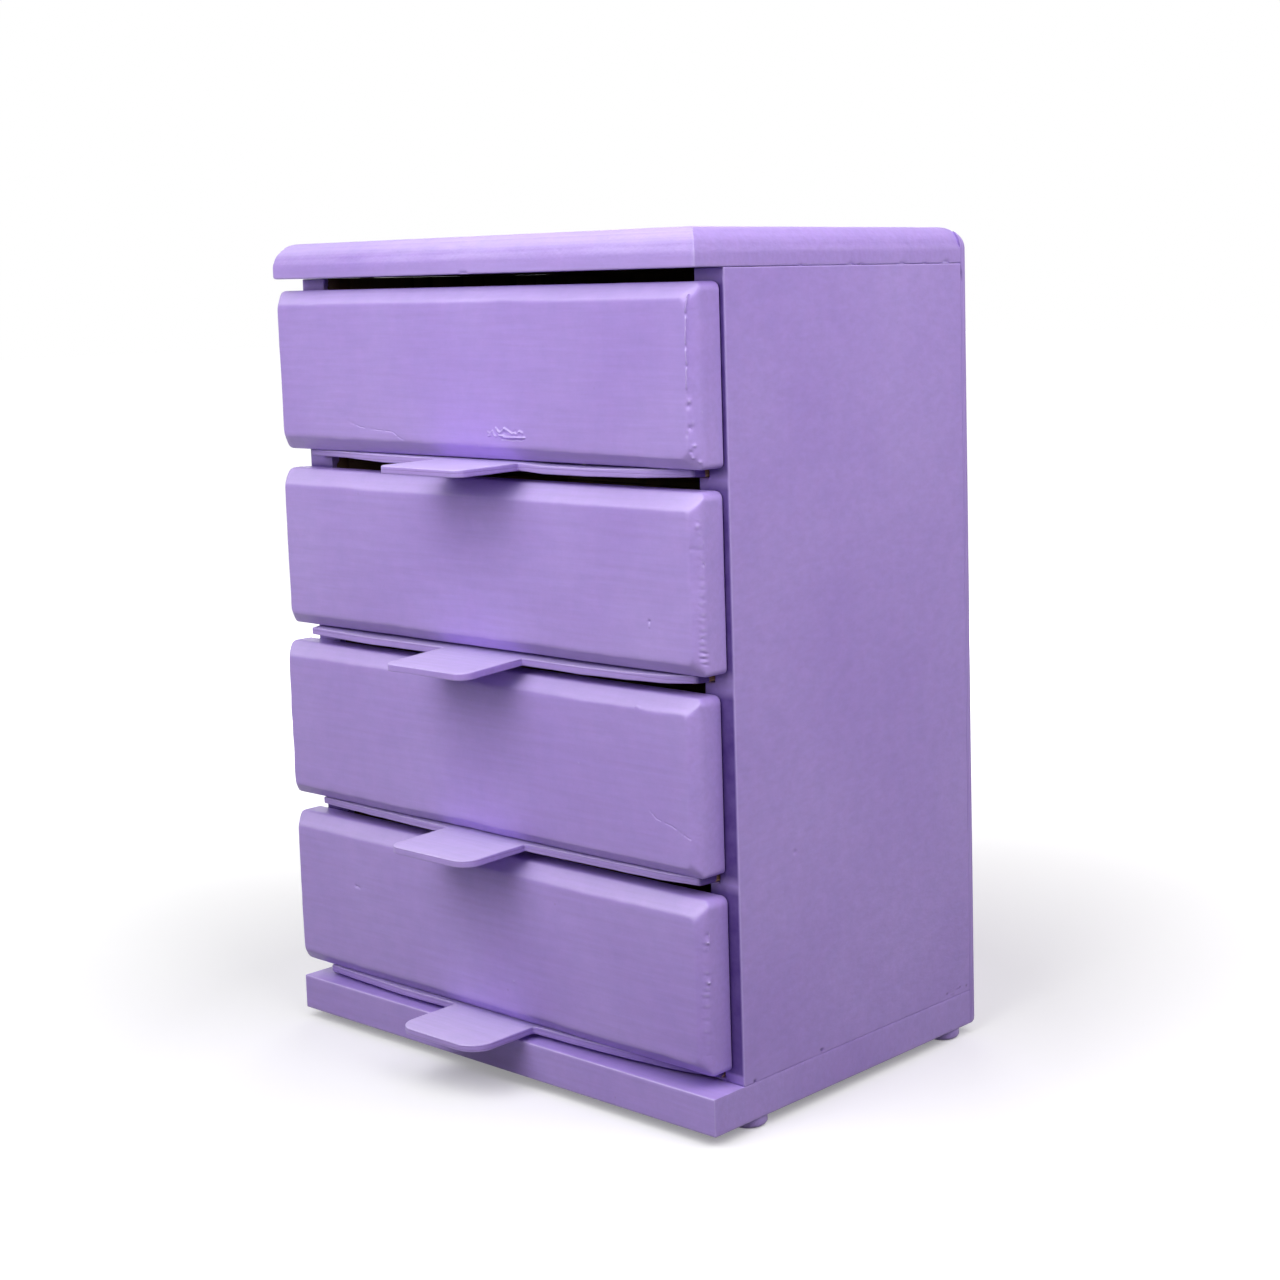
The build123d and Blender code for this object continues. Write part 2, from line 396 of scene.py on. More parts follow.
def store_edge_highlights(piece):
    """Keep how far each point stands out, the mean fall from it to its neighbours, to pale the paint
    there: edge wear and a painted highlight on the arrises.
    """
    mesh = piece.data
    places = read_points(mesh, mesh.vertices, "co")
    normals = read_points(mesh, mesh.vertex_normals, "vector")
    pairs = numpy.empty(2 * len(mesh.edges), numpy.int32)
    mesh.edges.foreach_get("vertices", pairs)
    ends = pairs.reshape(-1, 2)
    fall, count = numpy.zeros(len(places)), numpy.zeros(len(places))
    for here, there in ((ends[:, 0], ends[:, 1]), (ends[:, 1], ends[:, 0])):
        way = places[there] - places[here]
        way /= numpy.maximum(numpy.linalg.norm(way, axis=1, keepdims=True), 1e-9)
        numpy.add.at(fall, here, -(way * normals[here]).sum(axis=1))
        numpy.add.at(count, here, 1)
    edge_highlights = numpy.clip((fall / numpy.maximum(count, 1) - 0.05) / 0.2, 0, 1)
    edge_highlights *= numpy.array([not in_filled_seam(Vector(place)) for place in places])
    layer = mesh.attributes.new("edge_wear_highlight", "FLOAT", "POINT")
    layer.data.foreach_set("value", edge_highlights.astype(numpy.float32))


def ramp(value, start, end):
    """0 before start, 1 after end, and straight between."""
    return min(1.0, max(0.0, (value - start) / (end - start)))


def near_outside(value, low, high):
    """1 close to either end of a span, and 0 from 3 mm inside it."""
    return 1 - ramp(min(value - low, high - value), 1.5 * MM, 3 * MM)


def finish_piece(piece, body, nodes, cover, own):
    store(piece, "paint_cover", cover)
    store_edge_highlights(piece)
    store(piece, "own_wood", lambda place: own)
    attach(piece, body)
    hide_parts(*nodes)


# %% [markdown]
# ## The case: one rounded block for the top and the panel
#
# The upper edges of the case are rounded over by about 7 mm, and the rounding runs on across the
# rear edge of the thin back panel. The maker rounded the top with the panel already on. We do the
# same: one block as large as the whole case gets its four upper edges rounded with the bevel
# operator, and is then sawn twice. The front slice above the sides is the top board, and the rear
# slice is the panel. A separate board for each would need the same curve built twice.

# %% Round the envelope of the case
top_low, top_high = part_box("top_board")
base_low, base_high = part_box("base_board")
panel_low, panel_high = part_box("back_panel")
TOP_ROUND = 7 * MM


def rounded_envelope(name):
    piece = block(name, (top_low.x, top_low.y, panel_low.z), (top_high.x, panel_high.y, top_high.z))
    open_piece(piece)
    edges = pick(piece, "EDGE", lambda edge: middle(edge).z > top_high.z - MM)
    bpy.ops.mesh.bevel(offset=TOP_ROUND, segments=10, affect="EDGES")
    close_piece()
    return piece, edges


# %% Saw the top board from the rounded block
top_board, rounded_edges = rounded_envelope("chest_top_board")
open_piece(top_board)
saw((0, top_high.y, 0), (0, 1, 0))
saw((0, 0, top_low.z), (0, 0, -1))
close_piece()
soften(top_board, 0.45 * MM, filled=in_filled_seam)
grid_board(top_board, 9 * MM, 1.0 * MM, 1.8 * MM)
print("rounded", rounded_edges, "edges by", TOP_ROUND, "m")

# %% [markdown]
# The rounding on the real top is not a clean curve. It was done with a plane and sandpaper, so it
# swells and thins along its length, and a ridge runs where it meets the front and side faces.
# Pushing only the curved part in, by up to two thirds of a millimetre, gives that. The lower edge
# of the part that sticks out at the left is eased too, and a small nick sits on the front edge.

# %% Make the rounding uneven
TOP_FACE_Z = top_high.z - TOP_ROUND


def uneven_rounding(place, normal):
    ridge = TOP_FACE_Z + 0.9 * MM * lumps(Vector((place.x, place.y, 0)), 30 * MM, 2)
    on_curve = ramp(place.z, ridge - 0.2 * MM, ridge + 1.1 * MM)
    upright = 1 - ramp(normal.z, 0.75, 0.98)
    swell = 0.5 + 0.5 * lumps(place, 13 * MM, 4)
    ripple = 0.5 + 0.5 * lumps(place, 4.0 * MM, 9)
    return -normal * MM * on_curve * upright * (0.10 + 0.32 * swell + 0.26 * ripple)


def before_the_sides(place):
    return 1 - ramp(place.y, side_low.y - 3 * MM, side_low.y - MM)


side_low, side_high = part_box("right_side")
move_points(top_board, uneven_rounding)
plane_case_board(top_board)
ease_corner(top_board, (0, 2), top_low, (-1, -1), 1.7 * MM, before_the_sides)
nick = Vector((top_low.x + 99.7 * MM, top_low.y, top_low.z + 0.4 * MM))
half_nick = Vector((1.5 * MM, 0, 0))
finer_round(top_board, nick, 4 * MM, 2)
mark_lines(top_board, [nick - half_nick, nick + half_nick], 0.8 * MM, -0.45 * MM)
print("nick on the lower front edge at", [round(value, 4) for value in nick])

# %% [markdown]
# Under the top board a row of small dents follows the joint with the side. The joint was filled
# and painted over, and the filler sank here and there. The table has how far each dent lies behind
# the side's front edge, its reach and its depth, in millimetres.

# %% Dent the joint under the top board
JOINT_DENTS = (
    (34, 0.7, 0.28),
    (58, 1.0, 0.42),
    (63, 0.7, 0.28),
    (84, 0.8, 0.42),
    (96, 0.6, 0.28),
    (107.5, 1.1, 0.63),
)
dent_long = Vector((0, 1.6 * MM, 0))
for distance, reach, depth in JOINT_DENTS:
    spot = Vector((top_high.x, side_low.y + distance * MM, top_low.z + 0.2 * MM))
    finer_round(top_board, spot, 3 * MM, 1)
    mark_lines(top_board, [spot, spot + dent_long], reach * MM, -depth * MM, distance, through=0)
smooth(top_board)


def top_cover(place):
    above = ramp(place.z, top_low.z + 0.2 * MM, top_low.z + 0.6 * MM)
    in_front = 1 - ramp(place.y, side_low.y + 2 * MM, side_low.y + 9 * MM)
    return max(above, in_front, near_outside(place.x, top_low.x, top_high.x))


def top_hammered(place):
    near_the_top = ramp(place.z, top_high.z - 2 * MM, top_high.z)
    return ramp(place.z, top_low.z + 1 * MM, TOP_FACE_Z) * (1 - 0.5 * near_the_top)


finish_piece(top_board, "case", ["top_board"], top_cover, 0.13)
store(top_board, "hammered", top_hammered)

# %% [markdown]
# The panel comes from a second block like the first, cut the other way. Its lower rear edge is rounded
# more than the others. On its outer side its joint was filled, but for two short slits, which are not
# cut but painted dark as painted shade.

# %% Saw the back panel from the same rounded block
back_panel, rounded_edges = rounded_envelope("chest_back_panel")
open_piece(back_panel)
saw((0, panel_low.y, 0), (0, -1, 0))
close_piece()
soften(back_panel, 0.4 * MM, angle=60, filled=in_filled_seam)
grid_board(back_panel, 8 * MM, 1.2 * MM, 3.5 * MM)
plane_case_board(back_panel)
ease_corner(back_panel, (1, 2), Vector((0, panel_high.y, panel_low.z)), (1, -1), 2.5 * MM)
smooth(back_panel)


def panel_cover(place):
    outer_face = ramp(place.y, panel_low.y + 0.3 * MM, panel_low.y + 0.8 * MM)
    at_sides = near_outside(place.x, panel_low.x, panel_high.x)
    return max(outer_face, at_sides, near_outside(place.z, panel_low.z, panel_high.z))


def seam_slit_shade(place):
    """Painted shade: two short dark slits high on the right stand for the shade in the panel's joint,
    which was never filled there.
    """
    at_seam = ramp(place.x, panel_high.x - 1.5 * MM, panel_high.x - 0.2 * MM)
    at_seam *= 1 - ramp(place.y, panel_low.y + 0.3 * MM, panel_low.y + 0.7 * MM)
    up = (place.z - panel_low.z) / MM
    return at_seam if 256.5 < up < 259.6 or 260.8 < up < 262.5 else 0.0


finish_piece(back_panel, "case", ["back_panel"], panel_cover, 0.71)
store(back_panel, "painted_shade", seam_slit_shade)
print("panel is", round((panel_high.y - panel_low.y) / MM, 2), "mm thick")

# %% [markdown]
# ## The base board
#
# The base board has crisp square edges, with only the film of paint to round them. It sticks out
# in front of the sides like a plinth. A plain block, finely gridded along its edges, is enough.

# %% Make the base board
base_board = block("chest_base_board", base_low, base_high)
soften(base_board, 0.4 * MM, filled=in_filled_seam)
grid_board(base_board, 6 * MM, 1.0 * MM, 2.8 * MM)
plane_case_board(base_board)
smooth(base_board)


def base_cover(place):
    upper = ramp(place.z, base_high.z - 0.6 * MM, base_high.z - 0.2 * MM)
    inside = upper * ramp(place.y, side_low.y + 3 * MM, side_low.y + 10 * MM)
    return 1 - inside * (1 - near_outside(place.x, base_low.x, base_high.x))


finish_piece(base_board, "case", ["base_board"], base_cover, 0.37)

# %% [markdown]
# ## The side boards and their grooves
#
# Each side board has four grooves that the drawer bottoms slide in. A groove runs right through
# from front to back, so the board is the same shape all along: draw the end of the board, cut the
# grooves out of that drawing, and extrude it. A boolean would cut them too, but it leaves a messy
# mesh. The drawing is the front face of a block whose other faces are deleted. Bisect cuts it
# along the edges of the grooves.

# %% Draw the end of a side board, cut its grooves and extrude it
GROOVE_DEEP = 4 * MM
GROOVE_SLACK = 0.3 * MM
grooves = []
for drawer in DRAWERS:
    bottom_low, bottom_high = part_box(f"drawer_{drawer}_bottom")
    grooves.append((bottom_low.z - GROOVE_SLACK, bottom_high.z + GROOVE_SLACK))


def in_a_groove(face, groove_floor, outward):
    centre = face.calc_center_median()
    inside = (groove_floor - centre.x) * outward > 0
    return inside and any(low < centre.z < high for low, high in grooves)


def side_board(name, node, outward):
    low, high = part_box(node)
    inner = low.x if outward > 0 else high.x
    groove_floor = inner + outward * GROOVE_DEEP
    piece = block(name, low, high)
    open_piece(piece)
    pick(piece, "FACE", lambda face: face.normal.y > -0.5)
    bpy.ops.mesh.delete(type="FACE")
    slice_through((groove_floor, 0, 0), (1, 0, 0))
    for level in (level for pair in grooves for level in pair):
        slice_through((0, 0, level), (0, 0, 1))
    cut = pick(piece, "FACE", lambda face: in_a_groove(face, groove_floor, outward))
    bpy.ops.mesh.delete(type="FACE")
    bpy.ops.mesh.select_all(action="SELECT")
    bpy.ops.mesh.extrude_region_move(TRANSFORM_OT_translate={"value": (0, high.y - low.y, 0)})
    bpy.ops.mesh.select_all(action="SELECT")
    bpy.ops.mesh.normals_make_consistent(inside=False)
    bpy.ops.mesh.dissolve_limited(angle_limit=math.radians(1))
    close_piece()
    print(name, "has", cut, "grooves")
    return piece


# %% [markdown]
# The outer face of the right side has a pit, and beside the lower joint a row of pinholes where filler
# fell out of old nail holes. For each mark the table has its place, in millimetres back and up from the
# board's front lower corner, its reach and its height. The front edges beside the fronts, and the
# pinholes, are painted a deep violet: that is painted shade, for the shade that the fronts and the holes
# hold there. All the boards of the case share one pattern of hand work, because they were planed and
# sanded together: where two of them meet flush, the filled joint hardly shows.

# %% Shape both side boards
PINHOLES = (
    (36.8, 1.2, 0.8, -0.4),
    (4.8, 0.4, 0.8, -0.35),
    (103.0, 1.9, 0.45, -0.6),
    (106.3, 1.6, 0.8, -0.7),
    (110.4, 2.4, 0.4, -0.5),
    (114.0, 2.0, 0.5, -0.5),
)
SIDE_MARKS = (
    (25.9, 67.8, 0.9, -0.6),
    *PINHOLES,
    (8.0, 34.0, 0.6, -0.2),
    (62.0, 190.0, 0.5, -0.15),
    (88.0, 141.0, 0.6, -0.15),
)
sides = {}
for label, outward in (("left", -1), ("right", 1)):
    piece = side_board(f"chest_{label}_side", f"{label}_side", outward)
    soften(piece, 0.4 * MM, filled=in_filled_seam)
    grid_board(piece, 5 * MM, 0.9 * MM, 3.0 * MM)
    plane_case_board(piece)
    sides[label] = piece
for along, up, reach, height in SIDE_MARKS:
    spot = Vector((side_high.x, side_low.y + along * MM, side_low.z + up * MM))
    finer_round(sides["right"], spot, 2.6 * MM, 4)
    mark_lines(sides["right"], [spot], reach * MM, height * MM, through=0)

# %% Say where the side boards are painted
front_boxes = {drawer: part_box(f"drawer_{drawer}_front") for drawer in DRAWERS}
beside_fronts = [(low.z - MM, high.z + 0.6 * MM) for low, high in front_boxes.values()]
for label, outward, own in (("left", -1, 0.55), ("right", 1, 0.91)):
    low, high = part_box(f"{label}_side")
    inner = low.x if outward > 0 else high.x

    def side_cover(place, inner=inner, low=low):
        outer = ramp(abs(place.x - inner), 8.5 * MM, 10.5 * MM)
        return max(outer, 1 - ramp(place.y, low.y + 0.6 * MM, low.y + 4 * MM))

    # Painted shade: darkens the front edge beside the fronts, a fainter strip on the rest of the right
    # side's front edge, and the pinholes.
    def side_painted_shade(place, inner=inner, low=low, outward=outward):
        on_edge = 1 - ramp(place.y, low.y + 0.2 * MM, low.y + 0.7 * MM)
        on_edge *= 1 - ramp(abs(place.x - inner), 11.3 * MM, 11.9 * MM)
        beside = any(start < place.z < end for start, end in beside_fronts)
        if outward < 0:
            return on_edge * beside
        pinhole_shade = 0.0
        for along, up, reach, height in PINHOLES:
            away = math.hypot((place.y - low.y) / MM - along, (place.z - low.z) / MM - up)
            pinhole_shade = max(pinhole_shade, bell(away, 1.3 * reach))
        return max(on_edge * (1.0 if beside else 0.3), pinhole_shade)

    def side_hammered(place, low=low):
        low_part = 1 - ramp(place.z, low.z + 20 * MM, low.z + 120 * MM)
        return 0.75 * low_part * ramp(place.y, low.y - 60 * MM, low.y + 90 * MM)

    smooth(sides[label])
    finish_piece(sides[label], "case", [f"{label}_side"], side_cover, own)
    store(sides[label], "painted_shade", side_painted_shade)
    store(sides[label], "hammered", side_hammered)

# %% [markdown]
# ## The feet
#
# Four small wooden buttons, painted with the rest. A cylinder gets a rounded lower rim. Its
# underside is inset three times, and the last ring is pushed up to make the sunken hole for the
# nail. One foot is modelled and copied, each copy with its own mesh.

# %% Model one foot
foot_low, foot_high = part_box("foot_front_left")
foot_middle = (foot_low + foot_high) / 2
foot_tall = foot_high.z - foot_low.z
bpy.ops.object.select_all(action="DESELECT")
bpy.ops.mesh.primitive_cylinder_add(
    vertices=64, radius=(foot_high.x - foot_low.x) / 2, depth=foot_tall, location=foot_middle
)
foot = bpy.context.active_object
foot.name = foot.data.name = "chest_foot_front_left"
bpy.ops.object.transform_apply(location=True, rotation=False, scale=True)
open_piece(foot)
pick(foot, "FACE", lambda face: face.normal.z < -0.5)
for inset, drop in ((3.4 * MM, 0.0), (0.55 * MM, 0.0), (0.12 * MM, 1.0 * MM)):
    bpy.ops.mesh.inset(thickness=inset)
    bpy.ops.transform.translate(value=(0, 0, drop))
close_piece()
open_piece(foot)
pick(
    foot,
    "EDGE",
    lambda edge: abs(middle(edge).z - foot_low.z) < 0.01 * MM
    and (middle(edge) - foot_middle).xy.length > 5.5 * MM
    and (edge.verts[0].co - edge.verts[1].co).length < 1 * MM,
)
bpy.ops.mesh.bevel(offset=1.5 * MM, segments=6, affect="EDGES")
close_piece()
soften(foot, 0.12 * MM, angle=60)
smooth(foot)
print("foot is", round(foot_tall / MM, 2), "mm tall with", len(foot.data.polygons), "faces")

# %% Copy the foot to the other corners
feet = {"foot_front_left": foot}
for node in ("foot_front_right", "foot_back_left", "foot_back_right"):
    low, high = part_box(node)
    feet[node] = copy_piece(foot, "chest_" + node, (low + high) / 2 - foot_middle)
for own, (node, piece) in enumerate(sorted(feet.items())):
    work_by_hand(piece, 0.15 * MM, 4 * MM, 20 + own)
    finish_piece(piece, "case", [node], lambda place: 1.0, 0.2 * own)
print("feet:", sorted(feet))

# %% [markdown]
# ## The drawer fronts
#
# A front is a thick board with a bevel along all four edges of its face. We saw a rough bevel,
# narrower than the final one, with four slanted cuts through a block, and plane it to its size
# afterwards. One front is sawn and gridded, then copied for each drawer, because the real four
# were cut to one size and only differ by the hand work that follows.

# %% Saw the four rough bevels of a front
ROUGH_BEVEL = 3.2 * MM
END_BEVEL = 3.2 * MM
ROUGH_END = 2.1 * MM
front_low, front_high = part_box("drawer_4_front")
front = block("chest_drawer_front", front_low, front_high)
face_y = front_low.y
open_piece(front)
saw((0, face_y, front_high.z - ROUGH_BEVEL), (0, -1, 1))
saw((0, face_y, front_low.z + ROUGH_BEVEL), (0, -1, -1))
saw((front_high.x - ROUGH_END, face_y, 0), (1, -1, 0))
saw((front_low.x + ROUGH_END, face_y, 0), (-1, -1, 0))
close_piece()
soften(front, 0.4 * MM, angle=25)
coarse_front = 1.3
grid_board(front, 8 * MM, 0.62 * MM, coarse_front * MM)

# %% [markdown]
# ## Planing the bevels by hand
#
# On the real fronts every bevel has its own width and wanders along the edge, because it was
# planed by eye. Sandpaper and paint have melted the line between bevel and face, the mitres are
# rounded turns rather than sharp lines, and the corners of the board are round. To copy that, each
# point that stands outside an imagined plane is pushed back onto it. A soft maximum does the
# pushing, and its softness is the roundness of the melted line. The planes are listed as a corner,
# a direction, how far below the corner the plane lies, and its softness.

# %% List the planes of one front
ROOT_HALF = math.sqrt(0.5)
# the widths in millimetres of the upper bevel, and of the lower one at its left and its right end
BEVEL_WIDTHS = {1: (4.5, 4.6, 4.6), 2: (4.5, 3.6, 3.2), 3: (5.2, 4.2, 3.9), 4: (4.7, 4.9, 3.2)}


def front_planes(low, high, upper, lower):
    top, bottom = high.z - upper * MM, low.z + lower * MM
    planes = [
        (Vector((0, low.y, top)), Vector((0, -1, 1)), 0.0, 0.30),
        (Vector((0, low.y, bottom)), Vector((0, -1, -1)), 0.0, 0.30),
    ]
    for side, end, mitre in ((1, high.x, 0.55), (-1, low.x, 0.3)):
        line = end - side * END_BEVEL
        planes.append((Vector((line, low.y, 0)), Vector((side, -1, 0)), 0.0, 0.26))
        planes.append((Vector((end, low.y + END_BEVEL, 0)), Vector((2.4 * side, -1, 0)), 0.35, 0.30))
        planes.append((Vector((line, low.y, top)), Vector((side, -2, 1)), mitre, 0.26))
        planes.append((Vector((line, low.y, bottom)), Vector((side, -2, -1)), 0.4, 0.26))
    return [(corner, way.normalized(), deep * MM, melt * MM) for corner, way, deep, melt in planes]


# %% Plane one front


def push_back(place, plane, wander):
    """How far a point has to go back so that it lies behind a wandering, soft-edged plane."""
    corner, direction, deep, melt = plane
    beyond = (place - corner).dot(direction) + deep
    if beyond < -4 * melt - 0.4 * MM:
        return Vector((0, 0, 0))
    beyond += wander()
    return -direction * melt * math.log1p(math.exp(min(30.0, beyond / melt)))


def round_corner(place, low, high, radius):
    """Push a point near one of the four corners inside a quarter circle."""
    side_x = 1 if place.x > (low.x + high.x) / 2 else -1
    side_z = 1 if place.z > (low.z + high.z) / 2 else -1
    reach = radius * (0.45 if side_x < 0 else 1.0 if side_z > 0 else 0.7)
    out_x = (place.x - (high.x if side_x > 0 else low.x)) * side_x + reach
    out_z = (place.z - (high.z if side_z > 0 else low.z)) * side_z + reach
    if out_x <= 0 or out_z <= 0 or math.hypot(out_x, out_z) <= reach:
        return Vector((0, 0, 0))
    back = reach / math.hypot(out_x, out_z) - 1
    return Vector((out_x * back * side_x, 0, out_z * back * side_z))


def plane_front(piece, low, high, widths, seed, rough):
    planes = front_planes(low, high, widths[0], widths[1])
    narrower = (widths[1] - widths[2]) * ROOT_HALF * MM
    taper_from = low.x + 0.45 * (high.x - low.x)

    def shift(place, normal):
        edge = min(place.x - low.x, high.x - place.x, place.z - low.z, high.z - place.z)
        if edge > 8 * MM:
            return Vector((0, 0, 0))
        total = round_corner(place, low, high, 3.0 * MM)
        for number, plane in enumerate(planes):

            def wander():
                spot = Vector((place.x, number * 0.37, place.z))
                uneven = 0.22 * lumps(spot, 26 * MM, seed) + 0.14 * lumps(spot, 7 * MM, seed + 3)
                taper = narrower * ramp(place.x, taper_from, high.x) if number == 1 else 0.0
                return rough * uneven * MM - taper

            total += push_back(place + total, plane, wander)
        return total

    move_points(piece, shift)


# %% [markdown]
# ## Marks on the fronts
#
# Every front has its own history. The top front has a hairline crack, a crust of thick paint, a
# thin raised run of paint down the line of its right bevel, and small craters below it. Counted
# from the top, the second and the lowest have strong chatter marks from a saw on the right bevel,
# and the third has a long faint scratch. A mark in the table is a path, a reach and a height. The
# places on the path are millimetres along and up from a front's left lower corner. Drawer 4 is the
# top one.

# %% List the marks of each front
CRUST = [
    ([(110.0, 9.1), (111.0, 8.7), (112.3, 9.6), (112.9, 8.3), (113.6, 7.8)], 0.42, 0.30),
    ([(110.2, 7.9), (111.4, 8.2)], 0.45, 0.26),
    ([(113.8, 10.5), (114.9, 9.5), (115.7, 9.0), (116.4, 9.4), (117.8, 10.4)], 0.42, 0.42),
    ([(117.8, 10.4), (119.5, 9.8), (121.2, 8.9), (122.5, 9.0), (123.4, 8.8)], 0.42, 0.42),
    ([(124.2, 9.3), (124.9, 9.7), (126.1, 9.2)], 0.5, 0.36),
    ([(115.3, 8.2), (117.3, 8.1), (118.2, 7.7), (121.4, 7.7), (125.0, 7.7), (127.0, 7.7)], 0.42, 0.62),
    ([(116.2, 7.0), (119.0, 7.0), (121.3, 6.8), (123.4, 7.0), (125.1, 6.85), (126.6, 7.1)], 0.35, -0.22),
    ([(117.2, 9.3), (118.6, 8.9)], 0.4, -0.2),
    ([(121.6, 9.5), (123.0, 9.8)], 0.4, -0.16),
]
FRONT_MARKS = {
    4: CRUST
    + [
        ([(39.5, 11.0), (45.8, 9.1), (55.2, 8.3), (62.5, 7.9), (66, 6.0), (69.5, 4.8)], 0.30, -0.14),
        ([(104.5, 4.6)], 0.5, -0.25),
        ([(197.4, 51.0), (197.1, 46.5)], 0.36, 0.62),
        ([(197.1, 44.6), (197.0, 40.0), (196.9, 37.0)], 0.38, 0.68),
        ([(196.9, 35.4), (197.0, 31.5)], 0.34, 0.6),
        ([(196.9, 29.8), (196.8, 24.4)], 0.36, 0.64),
        ([(197.0, 18.9)], 0.9, -0.5),
        ([(197.3, 20.6)], 0.55, 0.4),
        ([(200.0, 17.2)], 0.6, 0.3),
        ([(197.3, 12.6)], 0.9, -0.5),
        ([(197.9, 14.2)], 0.55, 0.36),
        ([(196.4, 10.6)], 0.6, -0.3),
        ([(197.4, 5.6)], 0.8, -0.4),
        ([(198.2, 7.4)], 0.6, 0.4),
        ([(197.6, 3.9)], 0.7, 0.4),
        ([(199.0, 2.6)], 0.7, 0.4),
        ([(60.0, 27.0), (66.0, 26.6)], 0.4, -0.05),
        ([(137.0, 36.0)], 0.5, -0.12),
    ],
    3: [
        ([(179.7, 15.8)], 0.75, -0.4),
        ([(179.7, 14.3)], 0.6, 0.14),
        ([(198.6, 45.4)], 0.75, 0.45),
        ([(200.0, 40.4)], 0.7, 0.5),
        ([(197.2, 38.6), (198.6, 38.3)], 0.5, -0.25),
        ([(199.6, 34.0)], 0.7, -0.4),
        ([(92.0, 30.0)], 0.5, -0.12),
    ],
    2: [
        ([(180.6, 19.3), (183.1, 17.2), (189.3, 15.9), (197.0, 12.8)], 0.34, -0.16),
        ([(190.0, 23.1), (191.4, 22.8)], 0.55, -0.26),
        ([(190.4, 24.2)], 0.5, 0.16),
        ([(176.0, 51.1)], 1.0, 0.3),
        ([(191.6, 52.0)], 0.4, -0.3),
        ([(150.0, 30.2)], 0.5, 0.14),
    ],
    1: [
        ([(34.6, 33.3), (37.0, 33.0)], 0.55, -0.3),
        ([(115.3, 15.0)], 0.6, 0.2),
        ([(199.8, 44.8)], 0.9, -0.6),
        ([(199.6, 42.6)], 0.6, 0.4),
        ([(199.9, 40.8)], 0.6, -0.4),
        ([(199.4, 30.2)], 0.7, 0.45),
        ([(140.0, 38.0)], 0.45, -0.12),
    ],
}
# the height of each chatter mark on the right bevel, and how deep it is there
CHATTER = {
    4: [(47, 0.2), (35, 0.2), (29, 0.25)],
    3: [(47, 0.5), (43, 0.5), (39, 0.6), (36, 0.6), (33.5, 0.5), (30, 0.7), (27.5, 0.6), (24.5, 0.9)]
    + [(22, 0.7), (19, 0.9), (17, 0.8), (14.6, 1.0), (12.6, 1.0), (10.4, 1.2), (8.4, 1.2)]
    + [(6.6, 1.1), (4.8, 0.8)],
    2: [(44, 0.3), (38, 0.35), (30, 0.3), (24, 0.3), (18, 0.35), (14, 0.3)],
    1: [(42.6, 0.7), (40.0, 0.7), (36.4, 0.4), (33.0, 0.9), (30.4, 0.6), (28.0, 0.8), (26.0, 0.9)]
    + [(22.7, 1.0), (19.0, 0.7), (14.8, 0.9), (11.0, 0.5), (8.0, 0.4)],
}
print("marks:", {drawer: len(marks) for drawer, marks in FRONT_MARKS.items()})

# %% Cut the chatter marks


def chatter(piece, low, high, marks, seed):
    """Short slanting ridges round the outer line of the right bevel."""
    line_x = high.x - END_BEVEL

    def shift(place, normal):
        round_bevel = (place.x - line_x) + (place.y - low.y)
        height = (place.z - low.z) / MM + 0.12 * round_bevel / MM
        depth = 0.0
        for number, (mark, strength) in enumerate(marks):
            if abs(height - mark) > 3:
                continue
            off = height - mark - 0.35 * lumps(place, 2 * MM, seed + number)
            start = 5.0 * MM + 1.1 * MM * lumps(Vector((number, 0.3, 0.7)), 1.0, seed)
            fade = bell(round_bevel - start, 2.6 * MM)
            depth += strength * fade * (bell(off, 0.5) - 0.7 * bell(off - 0.85, 0.45))
        return -normal * 0.26 * MM * depth

    near, far = (line_x - 3 * MM, low.y - MM, low.z), (high.x + MM, low.y + 8 * MM, high.z)
    move_points(piece, shift, near, far)


# %% Copy the front to the four drawers and give each its own marks
fronts = {}
for drawer, (low, high) in front_boxes.items():
    piece = copy_piece(front, f"chest_drawer_{drawer}_front", low - front_low)
    fronts[drawer] = piece

    def near_right_bevel(face, low=low, high=high):
        centre = face.calc_center_median()
        return centre.x > high.x - END_BEVEL - 2.5 * MM and centre.y < low.y + 8 * MM

    def in_crust(face, low=low):
        along, up = (face.calc_center_median() - low).xz / MM
        return 108 < along < 129 and 5.8 < up < 12 and face.normal.y < -0.5

    finer_where(piece, 1, near_right_bevel)
    rough = 1.5 if drawer == 2 else 1.0
    plane_front(piece, low, high, BEVEL_WIDTHS[drawer], 30 + drawer, rough)
    work_by_hand(piece, 0.10 * MM, 18 * MM, 40 + drawer)
    if drawer == 4:
        finer_where(piece, 4, in_crust)
    for spots, reach, height in FRONT_MARKS[drawer]:
        path = [low + Vector((along * MM, 0, up * MM)) for along, up in spots]
        if spots[0][0] < 190 and (spots, reach, height) not in CRUST:
            for start, stop in zip(path, path[1:] or path):
                finer_round(piece, (start + stop) / 2, (stop - start).length / 2 + 2.2 * MM, 2)
        mark_lines(piece, path, reach * MM, height * MM, drawer)
    chatter(piece, low, high, CHATTER[drawer], 50 + drawer)
    smooth(piece)
    print(piece.name, "has", len(piece.data.polygons), "faces")
bpy.data.objects.remove(front)

# %% Say where the fronts are painted
for drawer, piece in fronts.items():
    low, high = front_boxes[drawer]
    body, node = f"drawer_{drawer}", f"drawer_{drawer}_front"

    def front_cover(place, low=low, high=high):
        from_edge = min(place.x - low.x, high.x - place.x, place.z - low.z, high.z - place.z)
        behind = ramp(place.y, high.y - 0.5 * MM, high.y - 0.2 * MM)
        return 1 - behind * ramp(from_edge, 6 * MM, 15 * MM)

    finish_piece(piece, body, [node], front_cover, 0.27 * drawer)

